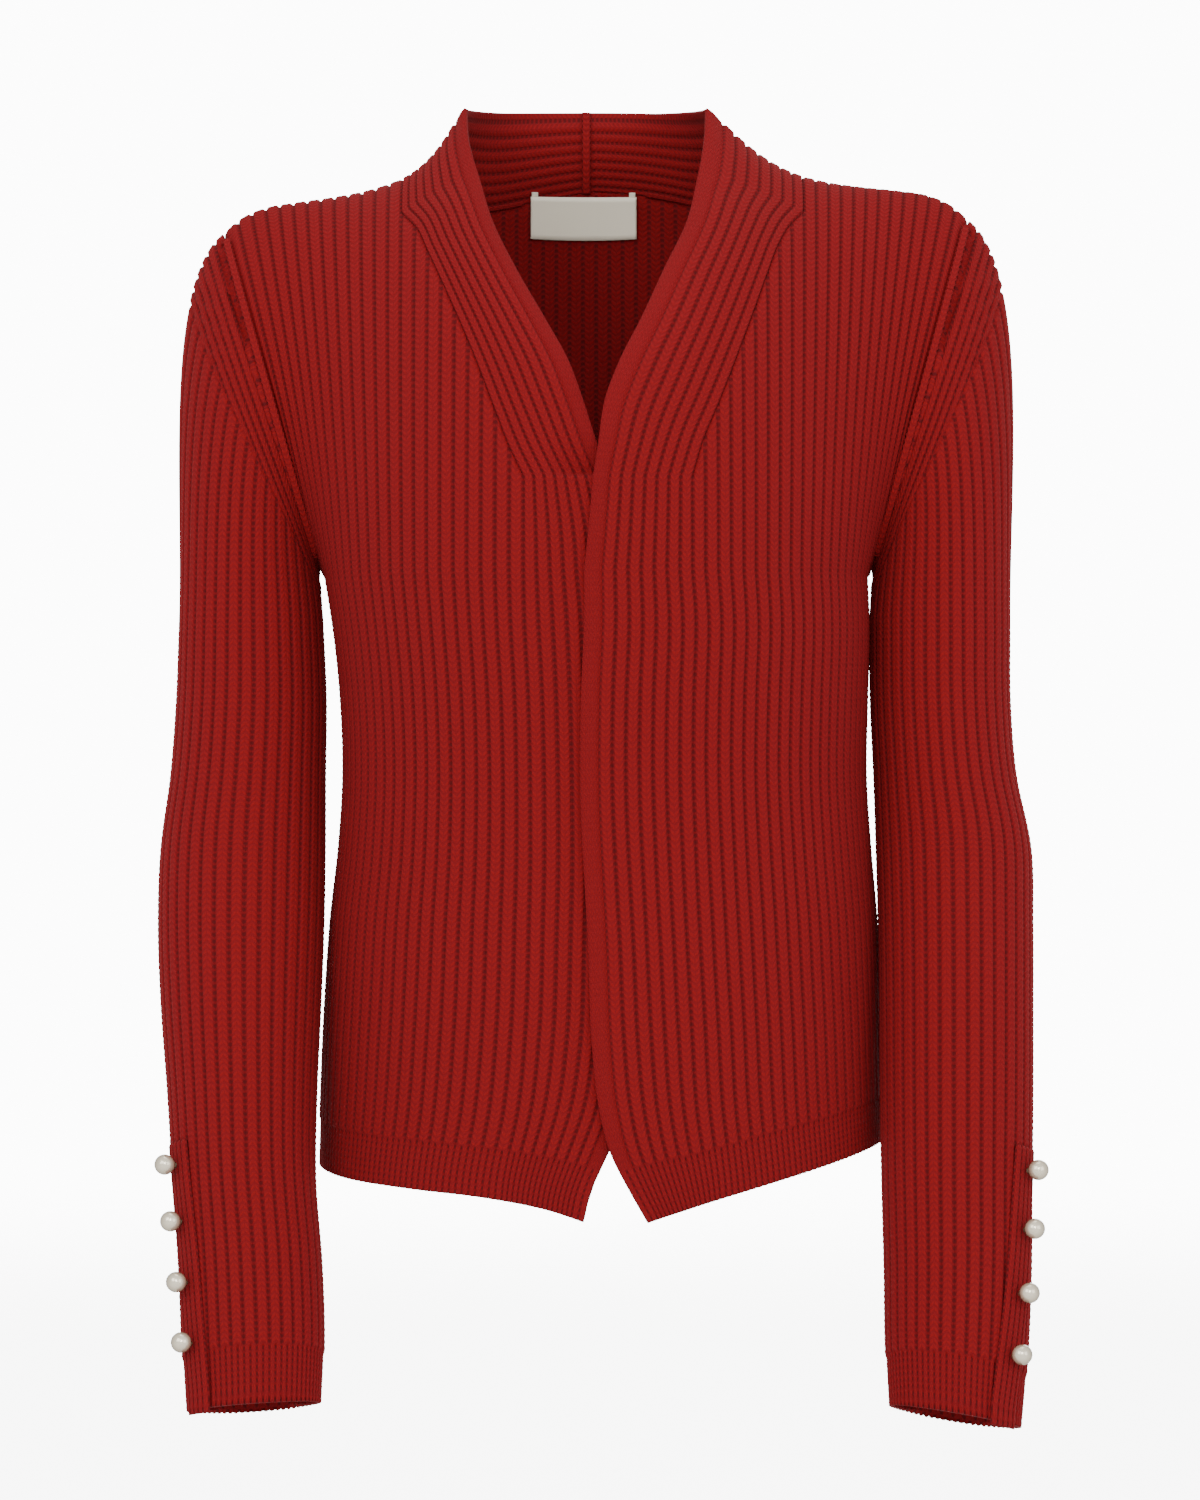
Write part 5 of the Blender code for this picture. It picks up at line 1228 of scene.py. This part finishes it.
def make_placket(side):
    """Shell of a placket, ribbed and rounded along its edges."""
    shell = Shell()
    heights = np.linspace(TUBE_BOTTOM - PLACKET_REACH, TUBE_BOTTOM + VENT_LENGTH,
                          knit_rows(VENT_LENGTH + PLACKET_REACH) + 1)[:, None]
    across = np.linspace(-0.5, 0.5, PLACKET_STEPS * PLACKET_RIBS + 1)[None]
    level = np.maximum(heights, TUBE_BOTTOM)
    around = placket_place(side, level) + across * PLACKET_WIDTH / CUFF_GIRTH
    points, normals = cuff_surface(side, around, level + 0 * across)
    points[..., 2] += np.minimum(0.0, heights - TUBE_BOTTOM)
    edge = (0.5 - np.abs(across)) * PLACKET_WIDTH
    ends = np.minimum(heights - heights[0], heights[-1] - heights)
    rounding = PLACKET_ROUNDING[1] * (1 - ease(np.minimum(edge, ends) / PLACKET_ROUNDING[0]))
    chart = chart_of(across * PLACKET_RIBS + 0.5, heights / COURSE)
    lift = relief(chart[..., 0], chart[..., 1], PLACKET_RISE) - PLACKET_RISE
    face = shell.add(points + normals * (PLACKET_LIFT - rounding + lift)[..., None])
    rows, columns = np.arange(len(heights)), np.arange(across.size)
    short = np.array(sorted(set(range(0, len(rows), 4)) | {len(rows) - 1}))
    cut = np.ix_(short, columns[::2])
    under = shell.add(points[cut] + normals[cut] * (PLACKET_LIFT - WALL))
    shell.skin(face, chart)
    shell.skin(under, chart[cut])
    for r in (0, -1):
        shell.zip((face[r], columns, chart[r]), (under[r], columns[::2], chart[r, ::2]))
    for c in (0, -1):
        shell.zip((face[:, c], rows, chart[:, c]), (under[:, c], short, chart[short, c]))
    return shell.build(f"placket_{SIDE_NAMES[side]}_shell", [rib_wool])


for side, word in SIDE_NAMES.items():
    placket = make_placket(side)
    dress(placket, f"placket_{word}")


# ---------------------------------------------------------------- pearl buttons
# Round imitation pearls on short shanks, moulded and dipped in pearl lacquer, four to a placket. They stand
# square to the cuff.
PEARL_RADIUS = 0.0053
SHANK_RADIUS = 0.0016
SHANK_HEIGHT = 0.0012
BUTTON_PLACES = (0.0120, 0.0405, 0.0705, 0.1010)      # below the vent's top
PEARL_SIDES = 48
PEARL_RINGS = 30
# Pearl lacquer over a moulded bead: cream in the middle, with painted shade darkening it towards the rim, and
# small sharp highlights
PEARL_BODY = "fbefd6"
PEARL_RIM_SHADE = "7a6236"


def pearl_material():
    """Lacquered pearl: a warm body with painted shade that darkens it towards its rim, under a clear coat."""
    made, tree = new_material("imitation pearl")
    # Painted shade: the base colour darkens towards the rim as the surface turns away from the view.
    rim = add_node(tree, "LayerWeight", {0: 0.5}).outputs["Facing"]
    colour = add_node(tree, "Mix", {0: rim, 6: linear(PEARL_BODY), 7: linear(PEARL_RIM_SHADE)},
                      data_type="RGBA").outputs[2]
    shader = add_node(tree, "BsdfPrincipled", {
        "Base Color": colour, "Metallic": 0.45, "Roughness": 0.22, "IOR": 1.55,
        "Coat Weight": 0.8, "Coat Roughness": 0.08, "Coat IOR": 1.5})
    finish_material(tree, shader)
    return made


pearl = pearl_material()


def make_button(side, number, place):
    """Pearl on its shank, turned round one profile."""
    shell = Shell()
    height = TUBE_BOTTOM + VENT_LENGTH - place
    point, normal = cuff_surface(side, placket_place(side, height), height)
    seat = point + normal * (PLACKET_LIFT + SEAM_GAP)
    start = math.asin(SHANK_RADIUS / PEARL_RADIUS)
    centre = SHANK_HEIGHT + PEARL_RADIUS * math.cos(start)
    turn = np.linspace(start, math.pi, PEARL_RINGS)
    radius = np.concatenate(([0.0, SHANK_RADIUS], PEARL_RADIUS * np.sin(turn)))
    along = np.concatenate(([0.0, 0.0], centre - PEARL_RADIUS * np.cos(turn)))
    side_axis = unit(np.cross(normal, np.array([0.0, 0.0, 1.0])))
    up_axis = np.cross(side_axis, normal)
    angle = np.linspace(0, 2 * math.pi, PEARL_SIDES + 1)
    ring = side_axis * np.cos(angle)[:, None] + up_axis * np.sin(angle)[:, None]
    points = seat + normal * along[:, None, None] + ring[None] * radius[:, None, None]
    index = shell.add(points)
    index[:, -1] = index[:, 0]
    shell.skin(index[1:-1], chart_of(angle[None], along[1:-1, None]))
    for r, pole in ((1, 0), (-2, -1)):
        rim = index[r, :-1]
        corners = np.stack([rim, np.roll(rim, -1), np.full(len(rim), index[pole, 0])], axis=1)
        shell.faces(corners, np.zeros((len(rim), 3, 2)), 0)
    name = f"button_{SIDE_NAMES[side]}_{number}"
    dress(shell.build(f"{name}_shell", [pearl]), name)


for side in (1, -1):
    for number, place in enumerate(BUTTON_PLACES, start=1):
        make_button(side, number, place)


# ---------------------------------------------------------------- label
# A woven satin label tacked to the inside of the back, just under the collar. Its two ends are folded under,
# and the ends of its tacking tape stand up at both upper corners.
LABEL_SIZE = (0.0587, 0.0228, 0.0008)       # width, height, thickness
LABEL_MIDDLE = (-0.0070, -0.0060)           # across, height
LABEL_CLEARANCE = 0.0013
LABEL_SEARCH = (-0.08, 0.030)               # heights of the back among which the label's are looked up
LABEL_ROWS = 9
LABEL_COLUMNS = 41
TAB_COLUMNS = 5
LABEL_FOLD = (0.0026, 0.0003)               # turned-under end: width, extra thickness
FOLD_EDGE = 0.0006
LABEL_SAG = 0.0008
TAB_SIZE = (0.0034, 0.0024, 0.0003)         # tape end: width, height above the label, thickness
TAB_INSET = 0.0006
TAB_GAP = 0.0001
# Polyester satin, woven narrow: cream and smooth, with a soft sheen along its fine threads
SATIN = "faf1da"
SATIN_THREADS = 0.00035
BAND_SCALE = 0.3                            # sets the wave texture's bands about one thread apart


def satin_material():
    """Cream satin with fine threads across it."""
    made, tree = new_material("woven satin")
    place = add_node(tree, "TexCoord").outputs["Object"]
    scale = add_node(tree, "VectorMath", {0: place, "Scale": 1 / SATIN_THREADS}, operation="SCALE").outputs[0]
    threads = add_node(tree, "TexWave", {
        "Vector": scale, "Scale": BAND_SCALE, "Distortion": 0.4}).outputs["Fac"]
    bump = add_node(tree, "Bump", {"Strength": 0.25, "Distance": 0.0001, "Height": threads}).outputs[0]
    shader = add_node(tree, "BsdfPrincipled", {
        "Base Color": linear(SATIN), "Roughness": 0.42, "IOR": 1.5, "Normal": bump,
        "Sheen Weight": 0.3, "Anisotropic": 0.5})
    finish_material(tree, shader)
    return made


def make_label():
    """Shell of the label and its two tape ends, bent to the back."""
    shell = Shell()
    width, height, thickness = LABEL_SIZE
    search = np.linspace(*LABEL_SEARCH, 200)

    def plate(left, right, low, high, columns, sag, thick):
        """Thin plate on the back's inside, its lower edge sagging in the middle."""
        across = np.linspace(left, right, columns)
        levels = np.linspace(low, high, LABEL_ROWS)
        face = np.empty((len(levels), len(across), 3))
        normals = np.empty_like(face)
        for k, x in enumerate(across):
            column = torso_point(x / SHOULDER_TIP, search, 1)
            dip = sag * (1 - ((2 * x - left - right) / (right - left)) ** 2) * (high - levels) / (high - low)
            shares = np.interp(levels - dip, column[:, 2], search)
            face[:, k] = torso_point(x / SHOULDER_TIP, shares, 1)
            normals[:, k] = torso_normal(x / SHOULDER_TIP, shares, 1)
        from_end = np.minimum(across - left, right - across)
        thick = thick + LABEL_FOLD[1] * (1 - ease((from_end - LABEL_FOLD[0]) / FOLD_EDGE))
        near = shell.add(face - normals * (WALL + LABEL_CLEARANCE))
        far = shell.add(face - normals * (WALL + LABEL_CLEARANCE + thick)[None, :, None])
        chart = chart_of(across[None] / SATIN_THREADS, levels[:, None] / SATIN_THREADS)
        shell.skin(near, chart)
        shell.skin(far, chart)
        for r in (0, -1):
            shell.skin(np.stack([near[r], far[r]]), np.stack([chart[r], chart[r]]))
        for c in (0, -1):
            shell.skin(np.stack([near[:, c], far[:, c]]), np.stack([chart[:, c], chart[:, c]]))

    left, right = LABEL_MIDDLE[0] - width / 2, LABEL_MIDDLE[0] + width / 2
    low, high = LABEL_MIDDLE[1] - height / 2, LABEL_MIDDLE[1] + height / 2
    plate(left, right, low, high, LABEL_COLUMNS, LABEL_SAG, thickness)
    for start in (left + TAB_INSET, right - TAB_INSET - TAB_SIZE[0]):
        plate(start, start + TAB_SIZE[0], high + TAB_GAP, high + TAB_SIZE[1], TAB_COLUMNS, 0.0, TAB_SIZE[2])
    return shell.build("label_shell", [satin_material()])


label = make_label()
dress(label, "label")
